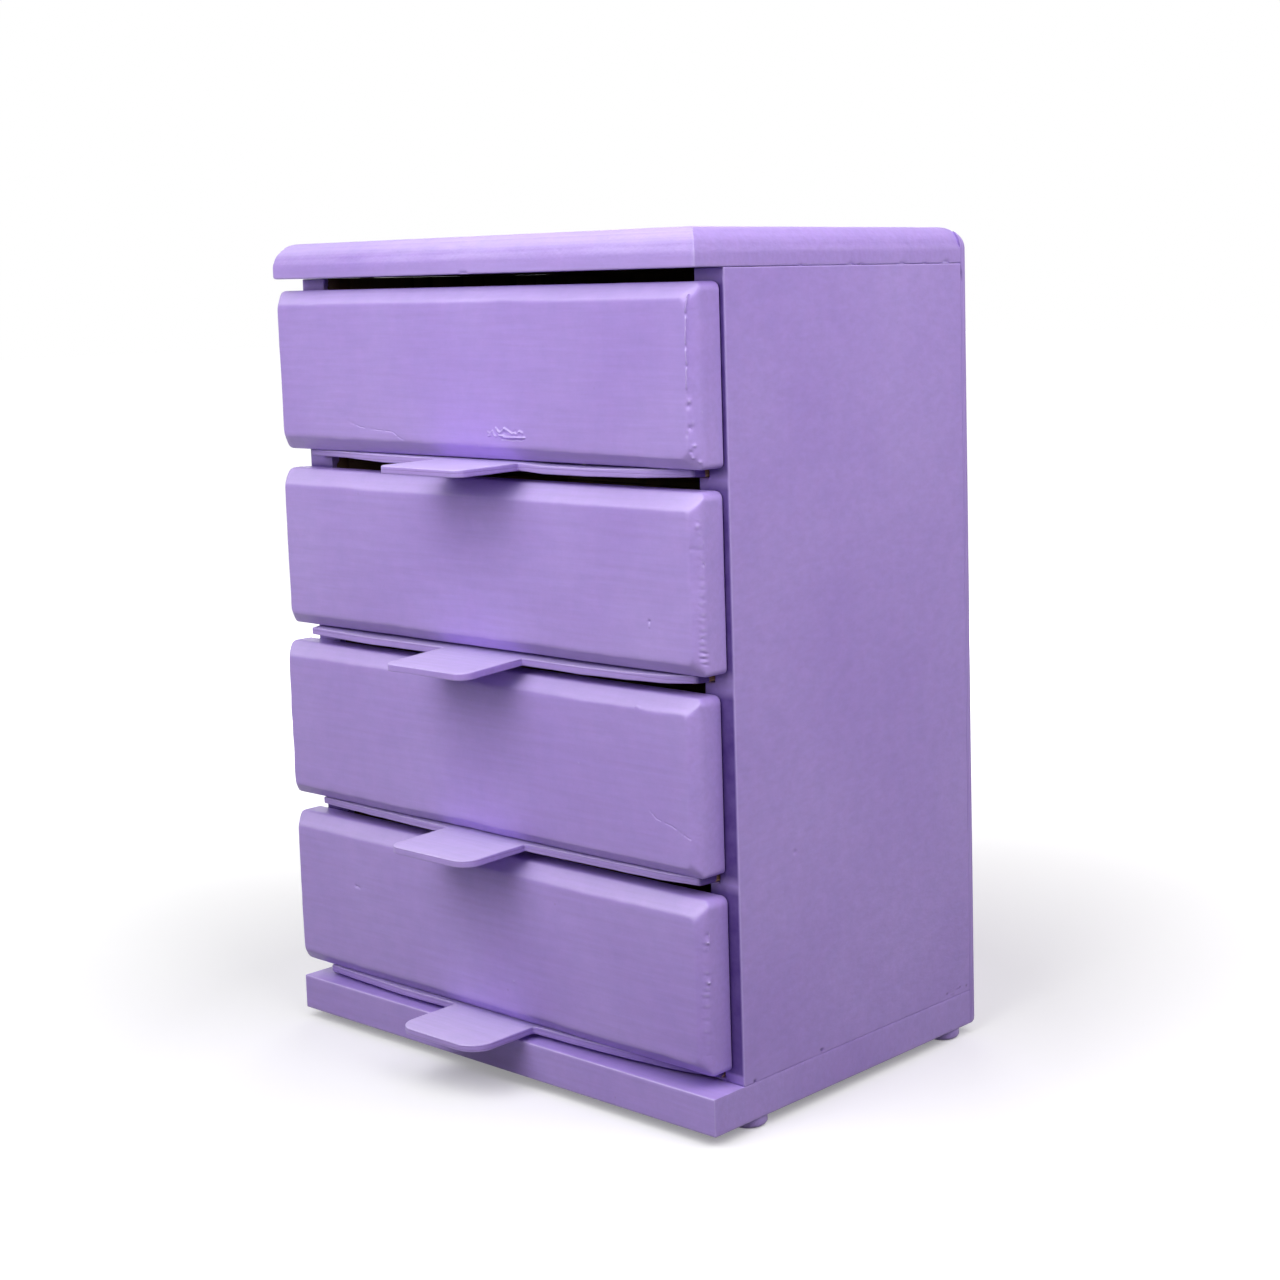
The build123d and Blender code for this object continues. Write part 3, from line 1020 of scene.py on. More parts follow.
# %% [markdown]
# ## The drawer bottoms with their tongues
#
# The pull of a drawer is a tongue of its plywood bottom. We start from a block of the bottom,
# bisect it at both sides of the tongue, pick the small face between the two cuts on the front
# edge, and extrude it forwards. Bevelling the two upright edges at its tip rounds the corners.
# The lower tongues were sanded rounder than the upper ones.

# %% Extrude and round a tongue
TONGUE_WIDE = 38.5 * MM
TONGUE_OUT = 25.5 * MM
BOTTOM_MIDDLE = (top_low.x + top_high.x) / 2
TONGUE_OFF = {1: -2.7, 2: -3.3, 3: -1.2, 4: 0.4}
TIP_ROUND = {1: (7.0, 8.5), 2: (5.0, 6.5), 3: (3.8, 5.2), 4: (3.0, 4.2)}


def bottom_board(drawer):
    low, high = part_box(f"drawer_{drawer}_bottom")
    edge_y = low.y + TONGUE_OUT
    piece = block(f"chest_drawer_{drawer}_bottom", (low.x, edge_y, low.z), high)
    tongue_x = BOTTOM_MIDDLE + TONGUE_OFF[drawer] * MM
    open_piece(piece)
    for x in (tongue_x - TONGUE_WIDE / 2, tongue_x + TONGUE_WIDE / 2):
        slice_through((x, 0, 0), (1, 0, 0))
    pick(
        piece,
        "FACE",
        lambda face: face.normal.y < -0.5 and abs(face.calc_center_median().x - tongue_x) < MM,
    )
    bpy.ops.mesh.extrude_region_move(TRANSFORM_OT_translate={"value": (0, -TONGUE_OUT, 0)})
    for side, round_by in zip((-1, 1), TIP_ROUND[drawer]):
        pick(
            piece,
            "EDGE",
            lambda edge: runs_along(edge, 2)
            and abs(middle(edge).y - low.y) < 0.01 * MM
            and (middle(edge).x - tongue_x) * side > 8 * MM,
        )
        bpy.ops.mesh.bevel(offset=round_by * MM, segments=10, affect="EDGES")
    bpy.ops.mesh.select_all(action="SELECT")
    bpy.ops.mesh.normals_make_consistent(inside=False)
    close_piece()
    return piece, edge_y, tongue_x


# %% [markdown]
# ## Bending and sanding the plywood's front edge
#
# No two of the bottoms lie the same. The thin plywood sags between its pins, so a dark gap opens
# under some fronts, and its front edge was sanded back towards the ends, most of all at the lowest
# drawer's right end. The tongues droop by different amounts. For each drawer the table lists, from
# left to right, the place from the middle of the case, the sag, how far the edge is sanded back,
# and how much is sanded off underneath, all in millimetres. Towards its ends the paint also stops
# at a different place behind the edge of each bottom.

# %% Bend and sand the front edge
EDGE_SHAPE = {
    1: [(-92, 0, 2, 0.2), (-84, 0, 1.5, 0), (-50, 0, 0, 0), (-24, -0.35, 0, 0), (18, -0.3, 0.4, 0)]
    + [(30, 0, 1.2, 0), (50, 0, 2.3, 0), (72, 0, 4.4, 0), (83, 0, 6.5, 0), (92, 0, 8.7, 0)],
    2: [(-92, 0.2, 2, 0.2), (-73, 0.3, 1, 0.2), (-24, 0.55, 0, 0), (18, 0.5, 0, 0)]
    + [(77, 0.2, 0.5, 0), (92, 0, 2, 0.2)],
    3: [(-92, 0.7, 0.5, 0), (-60, 1.3, 0, 0), (-22, 1.15, 0, 0), (20, 1.15, 0, 0), (45, 1.3, 0, 0)]
    + [(64, 1.0, 0.2, 0), (80, 0.6, 1, 0), (92, 0, 3.5, 0.2)],
    4: [(-92, 0, 4, 0.5), (-70, 0, 2, 0.6), (-50, 0.15, 0, 0), (-20, 0.3, 0, 0), (20, 0.4, 0, 0)]
    + [(30, 0.9, 0, 0), (50, 0.95, 0, 0), (72, 0.45, 0.5, 0), (92, 0, 4.5, 0.2)],
}
DROOP = {1: 0.35, 2: 0.8, 3: 1.6, 4: 0.35}
BARE_FROM = {1: 12, 2: 11, 3: 8.0, 4: 9.0}


def edge_shape(drawer, x):
    """The sag, the sanding back and the sanding underneath at a place along the edge."""
    table = numpy.array(EDGE_SHAPE[drawer])
    along = (x - BOTTOM_MIDDLE) / MM
    return [float(numpy.interp(along, table[:, 0], table[:, column])) * MM for column in (1, 2, 3)]


def bend_and_sand(place, edge_y, low, drawer, tongue_x):
    sag, back, under = edge_shape(drawer, place.x)
    behind = place.y - edge_y
    if sag > 0:
        hold = 1 - ramp(behind, 1 * MM, 11 * MM)
    else:
        hold = 1 - ramp(behind, 0.2 * MM, 1.8 * MM)
    drop = sag * hold + DROOP[drawer] * MM * max(0.0, -behind) / TONGUE_OUT
    beside = ramp(abs(place.x - tongue_x), TONGUE_WIDE / 2 - 0.5 * MM, TONGUE_WIDE / 2 + 1.5 * MM)
    move_back = back * beside * (1 - ramp(behind, 0, 14 * MM)) if behind > -0.1 * MM else 0.0
    lower_half = 1 - ramp(place.z, low.z, low.z + 2.7 * MM)
    lift = under * lower_half * (1 - ramp(behind, 0, 6 * MM))
    return Vector((0, move_back, lift - drop))


# %% Finish the four bottoms
for drawer in DRAWERS:
    piece, edge_y, tongue_x = bottom_board(drawer)
    low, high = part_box(f"drawer_{drawer}_bottom")
    soften(piece, 0.5 * MM, segments=3)
    grid_cuts(piece, 0, spaced(low.x, high.x, 4 * MM, 1.0 * MM, 2.4 * MM))
    grid_cuts(piece, 1, spaced(low.y, edge_y + 16 * MM, 0, 1.1 * MM, 1.1 * MM))
    grid_cuts(piece, 1, spaced(edge_y + 18 * MM, high.y, 0, 3 * MM, 4 * MM))
    grid_cuts(piece, 2, [low.z + 0.9 * MM, low.z + 1.35 * MM, low.z + 1.8 * MM])

    def sanded(place, normal, edge_y=edge_y, low=low, drawer=drawer, tongue_x=tongue_x):
        ahead = 1 - ramp(place.y, edge_y, edge_y + 3 * MM)
        wave = 0.5 + 0.5 * lumps(place, 7 * MM, 60 + drawer)
        tip = 1 - ramp(place.y, low.y, low.y + 3 * MM)
        thinner = -normal * MM * (0.2 * ahead * wave + 0.14 * tip)
        return thinner + bend_and_sand(place, edge_y, low, drawer, tongue_x)

    move_points(piece, sanded)
    smooth(piece)

    def bottom_cover(place, edge_y=edge_y, low=low, high=high, drawer=drawer):
        front = 1 - ramp(place.y, edge_y + 5 * MM, edge_y + 14 * MM)
        bare_y = edge_y + BARE_FROM[drawer] * MM
        bare = near_outside(place.x, low.x, high.x) * ramp(place.y, bare_y, bare_y + MM)
        return front * (1 - bare)

    # Painted shade: the right end of the plywood and its top behind the front edge, which lie in shade
    # under the front, are painted dark.
    def bottom_painted_shade(place, edge_y=edge_y, low=low, high=high):
        at_end = 1 - ramp(high.x - place.x, 0.3 * MM, 1.2 * MM)
        return min(1.0, 0.9 * at_end + 0.6 * ramp(place.y, edge_y + 1.5 * MM, edge_y + 5 * MM))

    body, node = f"drawer_{drawer}", f"drawer_{drawer}_bottom"
    finish_piece(piece, body, [node], bottom_cover, 0.19 * drawer)
    store(piece, "painted_shade", bottom_painted_shade)
    print(piece.name, "has", len(piece.data.polygons), "faces")

# %% [markdown]
# ## The drawer boxes
#
# Behind each front is a light box of thin softwood, never painted. Only its upper edges and the
# insides show when a drawer is open. The walls are plain boards: a block with softened edges and
# a coarse grid that lets them bow by a tenth of a millimetre.

# %% Make the walls and backs of the four boxes
for drawer in DRAWERS:
    for number, wall in enumerate(WALL_NAMES):
        node = f"drawer_{drawer}_{wall}"
        low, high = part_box(node)
        piece = block(f"chest_{node}", low, high)
        soften(piece, 0.5 * MM)
        grid_board(piece, 2 * MM, 0.9 * MM, 7 * MM)
        work_by_hand(piece, 0.12 * MM, 22 * MM, 70 + 3 * drawer + number)
        smooth(piece)
        own = 0.11 * (3 * drawer + number)
        finish_piece(piece, f"drawer_{drawer}", [node], lambda place: 0.0, own)

# %% [markdown]
# ## Building materials in code
#
# A material is a tree of nodes. `add_node` makes one and fills or links its sockets. `maths`,
# `times`, `plus` and `mix_colours` are the ones that we need most. Every pattern below is laid out
# in the object's own coordinates, in metres, so its grain has its real size on every board.

# %% Helpers for node trees


def add_node(tree, kind, feeds=None, **settings):
    made = tree.nodes.new("ShaderNode" + kind)
    for option, value in settings.items():
        setattr(made, option, value)
    for socket, source in (feeds or {}).items():
        if isinstance(source, bpy.types.NodeSocket):
            tree.links.new(source, made.inputs[socket])
        else:
            made.inputs[socket].default_value = source
    return made


def maths(tree, operation, first, second=0.0):
    return add_node(tree, "Math", {0: first, 1: second}, operation=operation).outputs[0]


def times(tree, value, *others):
    for other in others:
        value = maths(tree, "MULTIPLY", value, other)
    return value


def plus(tree, value, *others):
    for other in others:
        value = maths(tree, "ADD", value, other)
    return value


def vector_maths(tree, operation, first, second=(0, 0, 0)):
    made = add_node(tree, "VectorMath", {0: first, 1: second}, operation=operation)
    return made.outputs["Value" if operation in ("DISTANCE", "LENGTH") else "Vector"]


def mix_colours(tree, factor, first, second):
    made = add_node(tree, "Mix", {0: factor, 6: first, 7: second}, data_type="RGBA")
    return made.outputs[2]


def fit_range(tree, value, from_low, from_high, to_low, to_high):
    feeds = {0: value, 1: from_low, 2: from_high, 3: to_low, 4: to_high}
    return add_node(tree, "MapRange", feeds).outputs[0]


def smooth_noise(tree, place, scale, detail=3.0, roughness=0.5):
    feeds = {"Vector": place, "Scale": scale, "Detail": detail, "Roughness": roughness}
    return add_node(tree, "TexNoise", feeds).outputs[0]


def start_group(name, inputs, outputs):
    """An empty node group with named sockets: its tree, its way in and its way out."""
    group = bpy.data.node_groups.new(name, "ShaderNodeTree")
    for way, sockets in (("INPUT", inputs), ("OUTPUT", outputs)):
        for label, kind in sockets.items():
            group.interface.new_socket(name=label, in_out=way, socket_type=kind)
    ends = group.nodes.new("NodeGroupInput").outputs, group.nodes.new("NodeGroupOutput").inputs
    return group, *ends


def close_group(group, gives, *results):
    """Link the results to the way out, in the order of its sockets."""
    for number, result in enumerate(results):
        group.links.new(result, gives[number])
    print(group.name, "has", len(group.nodes), "nodes")


NUMBER, COLOUR, PLACE = "NodeSocketFloat", "NodeSocketColor", "NodeSocketVector"
FINISH = {"Color": COLOUR, "Roughness": NUMBER, "Height": NUMBER}

# %% [markdown]
# ## The lilac paint
#
# It is a brushed, semi-matt paint. Close up it shows broad, faint clouds where the coat is thicker,
# brush streaks and the wood's grain running along the board, a fine orange peel, and a few specks of
# dust. Shallow dimples join them where the wood was left lumpy. The group puts out colour, roughness and
# a height in millimetres. `Squeeze` shrinks the pattern's coordinates along the grain, which stretches
# the streaks. `EdgeWearHighlight`, `PaintedShade` and `Hammered` take the attributes that the pieces
# carry: `EdgeWearHighlight` pales the arrises, partly as edge wear and partly as a painted highlight,
# and `PaintedShade` mixes in a deep violet as painted shade. `TopHighlight` is high on slopes that face
# forward and up, and on the tops of the tongues: there the colour is mixed towards a paler lilac, a
# painted highlight that stands for the stronger light falling on surfaces that face up, and it is a good
# deal paler than the upright faces.

# %% Build the paint group
# Painted highlight: a paler lilac mixed in where surfaces face up, for the stronger light that falls on
# them.
TOP_HIGHLIGHT_LILAC = (0.62, 0.51, 0.845, 1)
# Paler lilac on the arrises: partly the coat worn thin there, partly a painted highlight.
EDGE_WEAR_HIGHLIGHT_LILAC = (0.70, 0.60, 0.93, 1)
# Painted shade: a deep violet mixed into the paint where shade falls beside and under the fronts, in
# pinholes and in slits.
PAINTED_SHADE_VIOLET = (0.078, 0.035, 0.225, 1)
paint_group, given, gives = start_group(
    "brushed_lilac",
    {"Place": PLACE, "Squeeze": PLACE, "Tint": COLOUR}
    | {label: NUMBER for label in ("Grain", "EdgeWearHighlight", "PaintedShade", "Hammered", "TopHighlight")},
    FINISH,
)
tree, place = paint_group, given["Place"]
clouds = smooth_noise(tree, place, 16.0, 3.0)
peel = smooth_noise(tree, place, 950.0, 2.0)
swirl = smooth_noise(tree, place, 170.0, 3.0, 0.6)
stretched = vector_maths(tree, "MULTIPLY", place, given["Squeeze"])
streaks = smooth_noise(tree, stretched, 620.0, 4.0, 0.6)
grain = smooth_noise(tree, stretched, 210.0, 2.0, 0.45)
drawn_back = vector_maths(tree, "MULTIPLY", place, (1.0, 0.45, 1.0))
dimples = smooth_noise(tree, drawn_back, 720.0, 2.0, 0.55)
specks = add_node(tree, "TexVoronoi", {"Vector": place, "Scale": 125.0}).outputs
dot = fit_range(tree, specks["Distance"], 0.03, 0.075, 1.0, 0.0)
chance = add_node(tree, "SeparateColor", {0: specks["Color"]}).outputs[0]
dust = times(tree, dot, maths(tree, "GREATER_THAN", chance, 0.86))
light = times(
    tree,
    fit_range(tree, clouds, 0.25, 0.75, 0.955, 1.045),
    fit_range(tree, peel, 0.3, 0.7, 0.985, 1.015),
    fit_range(tree, streaks, 0.3, 0.7, 0.955, 1.045),
    fit_range(tree, swirl, 0.3, 0.7, 0.98, 1.02),
)
tinted = add_node(
    tree,
    "HueSaturation",
    {
        "Color": mix_colours(tree, given["TopHighlight"], given["Tint"], TOP_HIGHLIGHT_LILAC),
        "Hue": fit_range(tree, swirl, 0.25, 0.75, 0.4955, 0.5045),
        "Saturation": fit_range(tree, clouds, 0.25, 0.75, 1.05, 0.95),
        "Value": maths(tree, "SUBTRACT", light, times(tree, dust, 0.12)),
    },
)
# The arrises are paled: partly edge wear, partly a painted highlight where the edges catch the light.
coat = mix_colours(tree, times(tree, given["EdgeWearHighlight"], 0.38), tinted.outputs[0], EDGE_WEAR_HIGHLIGHT_LILAC)
# Painted shade: the deep violet, broken up a little by noise, where the piece is marked for shade.
patchy_shade = times(tree, given["PaintedShade"], fit_range(tree, swirl, 0.3, 0.7, 0.82, 1.0))
coat = mix_colours(tree, patchy_shade, coat, PAINTED_SHADE_VIOLET)
cloudy = fit_range(tree, clouds, 0.25, 0.75, 0.40, 0.50)
rough = plus(tree, cloudy, fit_range(tree, peel, 0.3, 0.7, -0.04, 0.04))
brushed = plus(tree, times(tree, streaks, 0.044), times(tree, grain, 0.065))
tall = plus(
    tree,
    times(tree, brushed, given["Grain"]),
    times(tree, peel, 0.022),
    times(tree, swirl, 0.040),
    times(tree, dust, 0.035),
    times(tree, dimples, 0.15, given["Hammered"]),
)
close_group(paint_group, gives, coat, rough, tall)

# %% [markdown]
# ## Bare softwood
#
# A board shows year rings because the saw cuts through a cone of them. So the pattern is made the
# same way: the distance from the middle of an imagined log, wobbled by noise, and divided by the
# ring spacing. Late wood is the narrow dark part of each ring. Fine fibres run along the grain.

# %% Build the softwood group
wood_group, given, gives = start_group(
    "bare_softwood",
    {"Place": PLACE, "Squeeze": PLACE, "Log": PLACE, "Ring": NUMBER, "Early": COLOUR, "Late": COLOUR},
    FINISH,
)
tree = wood_group
stretched = vector_maths(tree, "MULTIPLY", given["Place"], given["Squeeze"])
from_heart = vector_maths(tree, "DISTANCE", stretched, given["Log"])
wobble = times(tree, smooth_noise(tree, stretched, 26.0, 3.0), 0.016)
rings = maths(tree, "DIVIDE", plus(tree, from_heart, wobble), given["Ring"])
phase = maths(tree, "FRACT", rings)
late = maths(tree, "POWER", phase, 3.0)
late = times(tree, late, fit_range(tree, phase, 0.97, 1.0, 1.0, 0.0))
fibres = smooth_noise(tree, stretched, 1500.0, 3.0, 0.65)
shades = smooth_noise(tree, stretched, 60.0, 2.0)
wood = mix_colours(tree, late, given["Early"], given["Late"])
shade = fit_range(tree, fibres, 0.25, 0.75, 0.90, 1.07)
shade = times(tree, shade, fit_range(tree, shades, 0.25, 0.75, 0.90, 1.10))
wood = add_node(tree, "HueSaturation", {"Color": wood, "Value": shade}).outputs[0]
rough = fit_range(tree, fibres, 0.2, 0.8, 0.62, 0.80)
tall = plus(tree, times(tree, late, 0.03), times(tree, fibres, 0.05))
close_group(wood_group, gives, wood, rough, tall)

# %% [markdown]
# ## The edge of plywood
#
# The plywood is three thin layers glued together. On its edges the middle layer is end grain, and shows
# as a darker band between two paler ones, with a fine glue line on each side. The group takes how deep a
# point lies inside the sheet, in millimetres, and puts out the middle layer and the glue lines as masks.
# Even under paint, the lines show as hair-thin grooves, and the paint along them is darkened as painted
# shade for those grooves.

# %% Build the plywood edge group
ply_group, given, gives = start_group(
    "plywood_layers", {"Depth": NUMBER, "Thick": NUMBER}, {"Core": NUMBER, "Glue": NUMBER}
)
tree = ply_group
share = maths(tree, "DIVIDE", given["Depth"], given["Thick"])
from_middle = maths(tree, "ABSOLUTE", maths(tree, "SUBTRACT", share, 0.5))
core = fit_range(tree, from_middle, 0.19, 0.23, 1.0, 0.0)
line = maths(tree, "ABSOLUTE", maths(tree, "SUBTRACT", from_middle, 0.21))
glue = fit_range(tree, line, 0.015, 0.06, 1.0, 0.0)
close_group(ply_group, gives, core, glue)

# %% [markdown]
# ## Paint over wood
#
# One recipe serves every painted board. It mixes bare wood and paint by the `paint_cover`
# attribute. A little noise added to the attribute frays the paint's border as a brush does, and
# the paint stands a few hundredths of a millimetre higher than the wood. `own_wood` moves the
# pattern from board to board. The shader itself stays in the material, with the groups feeding
# its sockets.

# %% Start a material, find its coordinates and lay paint over wood


def start_material(name):
    material = bpy.data.materials.new(name)
    material.use_nodes = True
    return material, material.node_tree


def read_attribute(tree, name):
    return add_node(tree, "Attribute", attribute_name=name).outputs["Fac"]


def object_place(tree):
    return add_node(tree, "TexCoord").outputs["Object"]


def shifted_place(tree):
    """The object's own coordinates, moved by the number of its board."""
    own = read_attribute(tree, "own_wood")
    jump = add_node(tree, "VectorMath", {0: (3.1, 1.7, 2.3), 3: own}, operation="SCALE").outputs[0]
    return vector_maths(tree, "ADD", object_place(tree), jump)


def facing_way(tree):
    """Which way the surface faces, as three numbers in the object's own frame."""
    return add_node(tree, "SeparateXYZ", {0: add_node(tree, "TexCoord").outputs["Normal"]}).outputs


def add_group(tree, group, feeds):
    return add_node(tree, "Group", feeds, node_tree=group).outputs


def bare_wood(tree, place, squeeze, log, ring, early, late):
    feeds = {"Place": place, "Squeeze": squeeze, "Log": log, "Ring": ring, "Early": early, "Late": late}
    return add_group(tree, wood_group, feeds)


def brush_on(tree, shifted, squeeze, grain, top_highlight):
    """The lilac paint, told where the piece has paler arrises (edge wear and painted highlight), painted
    shade, hammered wood, and how much painted highlight it takes from facing up.
    """
    feeds = {"Place": shifted, "Squeeze": squeeze, "Tint": LILAC, "Grain": grain, "TopHighlight": top_highlight}
    for socket, name in (("EdgeWearHighlight", "edge_wear_highlight"), ("PaintedShade", "painted_shade"), ("Hammered", "hammered")):
        feeds[socket] = read_attribute(tree, name)
    return add_group(tree, paint_group, feeds)


def lay_paint(tree, shifted, fray_scale, wood, paint):
    """Mix two finishes, each a colour, a roughness and a height, along a frayed border."""
    fray = fit_range(tree, smooth_noise(tree, shifted, fray_scale, 3.0), 0.2, 0.8, -0.4, 0.4)
    cover = plus(tree, read_attribute(tree, "paint_cover"), fray)
    mask = fit_range(tree, cover, 0.46, 0.54, 0.0, 1.0)
    colour = mix_colours(tree, mask, wood[0], paint[0])
    rough = add_node(tree, "Mix", {0: mask, 2: wood[1], 3: paint[1]}).outputs[0]
    tall = add_node(tree, "Mix", {0: mask, 2: wood[2], 3: plus(tree, paint[2], 0.05)}).outputs[0]
    return colour, rough, tall


def wire_shader(tree, colour, roughness, height):
    inputs = tree.nodes["Principled BSDF"].inputs
    bump = add_node(tree, "Bump", {"Height": height, "Distance": MM}).outputs[0]
    for socket, source in (("Base Color", colour), ("Roughness", roughness), ("Normal", bump)):
        tree.links.new(source, inputs[socket])


LILAC = (0.446, 0.308, 0.757, 1)
PINE_EARLY = (0.60, 0.42, 0.235, 1)
PINE_LATE = (0.37, 0.20, 0.085, 1)
# The bare wood of the case boards, inside the case and on the backs of the fronts, is made far darker
# than the box pine: painted shade for the dark inside of the case.
CASE_SHADE_EARLY = (0.27, 0.175, 0.095, 1)
CASE_SHADE_LATE = (0.16, 0.085, 0.04, 1)
PLY_FACE = (0.50, 0.33, 0.175, 1)
PLY_FACE_DARK = (0.38, 0.225, 0.11, 1)
PLY_CORE = (0.27, 0.15, 0.07, 1)
# The back panel's bare inner face is made nearly black: painted shade for the dark inside seen through
# the gaps.
SHADED_PANEL_FACE = (0.11, 0.06, 0.035, 1)
SHADED_PANEL_FACE_DARK = (0.085, 0.045, 0.025, 1)
GLUE_LINE = (0.10, 0.055, 0.03, 1)
GROOVE_SHADE_LINE = (0.20, 0.11, 0.36, 1)
DOWEL_EARLY = (0.55, 0.40, 0.24, 1)
DOWEL_LATE = (0.42, 0.28, 0.15, 1)

# %% Make the painted board finish for both directions of the grain


def painted_board(name, squeeze, log, brush, grain=1.0):
    material, tree = start_material(name)
    facing = facing_way(tree)
    shifted = shifted_place(tree)
    # Painted highlight: slopes that face forward and up get the paler lilac, for the light that falls on
    # them.
    top_highlight = fit_range(tree, times(tree, facing[1], -2.0, facing[2]), 0.35, 1.0, 0.0, 0.5)
    paint = brush_on(tree, shifted, brush, grain, top_highlight)
    wood = bare_wood(tree, object_place(tree), squeeze, log, 3.2 * MM, CASE_SHADE_EARLY, CASE_SHADE_LATE)
    wire_shader(tree, *lay_paint(tree, shifted, 240.0, wood, paint))
    return material


ACROSS = (0.06, 1.0, 1.0)
UPRIGHT = (1.0, 1.0, 0.06)
INWARD = (1.0, 0.06, 1.0)
SIDE_BRUSH = (1.0, 0.4, 1.0)
painted_across = painted_board("lilac_paint_grain_across", ACROSS, (0.0, 0.09, 0.31), ACROSS)
painted_upright = painted_board(
    "lilac_paint_grain_upright", UPRIGHT, (0.16, -0.05, 0.0), SIDE_BRUSH, 0.5
)

# %% [markdown]
# The plywood parts carry the same paint in front and bare veneer behind. Their faces have the
# broad, lazy figure of peeled veneer, and their edges show the layers. A drawer bottom's depth in
# the sheet comes from its height above the underside of its own drawer, which repeats at every
# drawer, so one material serves all four.

# %% Make the plywood finishes


def plywood(name, squeeze, axis, start, repeat, paint_grain, face, face_dark):
    material, tree = start_material(name)
    shifted = shifted_place(tree)
    facing = facing_way(tree)[axis]
    # Painted highlight: on the drawer bottoms the faces that point up, the tops of the tongues, get the
    # paler lilac; the panel gets none.
    top_highlight = fit_range(tree, facing, 0.2, 0.9, 0.0, 1.0) if repeat else 0.0
    paint = brush_on(tree, shifted, squeeze, paint_grain, top_highlight)
    veneer = bare_wood(tree, shifted, squeeze, (0.4, 0.4, 0.4), 11 * MM, face, face_dark)
    along = add_node(tree, "SeparateXYZ", {0: object_place(tree)}).outputs[axis]
    depth = maths(tree, "SUBTRACT", along, start)
    if repeat:
        depth = maths(tree, "FLOORED_MODULO", depth, repeat)
    layers = add_group(tree, ply_group, {"Depth": maths(tree, "DIVIDE", depth, MM), "Thick": 2.7})
    on_edge = fit_range(tree, maths(tree, "ABSOLUTE", facing), 0.35, 0.6, 1.0, 0.0)
    core = times(tree, layers["Core"], on_edge)
    glue = times(tree, layers["Glue"], on_edge)
    wood = mix_colours(tree, core, veneer["Color"], PLY_CORE)
    wood = mix_colours(tree, times(tree, glue, 0.7), wood, GLUE_LINE)
    # Painted shade: the paint is darkened along the glue lines, as in a groove.
    coat = mix_colours(tree, times(tree, glue, 0.35), paint["Color"], GROOVE_SHADE_LINE)
    bare = (wood, veneer["Roughness"], veneer["Height"])
    painted = (coat, paint["Roughness"], paint["Height"])
    colour, rough, tall = lay_paint(tree, shifted, 260.0, bare, painted)
    wire_shader(tree, colour, rough, maths(tree, "SUBTRACT", tall, times(tree, glue, 0.06)))
    return material


first_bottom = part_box("drawer_1_bottom")[0].z
drawer_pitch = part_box("drawer_2_bottom")[0].z - first_bottom
bottom_ply = plywood(
    "drawer_bottom_plywood", ACROSS, 2, first_bottom, drawer_pitch, 0.6, PLY_FACE, PLY_FACE_DARK
)
panel_ply = plywood(
    "back_panel_plywood", UPRIGHT, 1, panel_low.y, 0.0, 1.2, SHADED_PANEL_FACE, SHADED_PANEL_FACE_DARK
)
print("drawers repeat every", round(drawer_pitch / MM, 2), "mm")

# %% [markdown]
# The box wood is planed softwood that was never painted, slightly grey from handling. Its grain
# runs along each board: front to back in the walls, across in the backs. Dowels are a harder,
# plainer wood. Pins and nails are cheap steel, with a dull skin and a trace of rust.

# %% Make the bare wood and steel finishes


def bare_board(name, squeeze, log, early, late, ring=2.6 * MM):
    material, tree = start_material(name)
    wire_shader(tree, *bare_wood(tree, shifted_place(tree), squeeze, log, ring, early, late))
    return material


box_inward = bare_board("box_wood_grain_inward", INWARD, (0.9, 0.0, 0.8), PINE_EARLY, PINE_LATE)
box_across = bare_board("box_wood_grain_across", ACROSS, (0.0, 0.9, 0.8), PINE_EARLY, PINE_LATE)
dowel_wood = bare_board(
    "dowel_wood", UPRIGHT, (0.02, 0.01, 0.0), DOWEL_EARLY, DOWEL_LATE, 1.2 * MM
)

steel, tree = start_material("dull_steel")
place = object_place(tree)
rusty = fit_range(tree, smooth_noise(tree, place, 900.0, 4.0, 0.6), 0.52, 0.66, 0.0, 1.0)
colour = mix_colours(tree, rusty, (0.42, 0.41, 0.40, 1), (0.16, 0.07, 0.03, 1))
skin = fit_range(tree, smooth_noise(tree, place, 2400.0, 2.0), 0.2, 0.8, 0.28, 0.5)
rough = plus(tree, skin, times(tree, rusty, 0.3))
wire_shader(tree, colour, rough, times(tree, skin, 0.02))
metal = fit_range(tree, rusty, 0.0, 1.0, 1.0, 0.2)
tree.links.new(metal, tree.nodes["Principled BSDF"].inputs["Metallic"])
print("materials:", len(bpy.data.materials))

# %% [markdown]
# ## Giving every piece its finish
#
# The grain runs the long way of each board: across in the top, the base and the fronts, upright
# in the sides. The dowels, pins and nails keep their measured shapes, which are right as they
# are, and only take a material.

# %% Assign the finishes


def paint_with(piece, material):
    piece.data.materials.clear()
    piece.data.materials.append(material)


for piece in [top_board, base_board, *feet.values(), *fronts.values()]:
    paint_with(piece, painted_across)
for piece in sides.values():
    paint_with(piece, painted_upright)
paint_with(back_panel, panel_ply)
for drawer in DRAWERS:
    paint_with(bpy.data.objects[f"chest_drawer_{drawer}_bottom"], bottom_ply)
    for wall in WALL_NAMES:
        finish = box_across if wall == "back" else box_inward
        paint_with(bpy.data.objects[f"chest_drawer_{drawer}_{wall}"], finish)
for name, node in frame["nodes"].items():
    if name.endswith("dowels"):
        paint_with(node, dowel_wood)
    if name.endswith(("pins", "nails")):
        paint_with(node, steel)

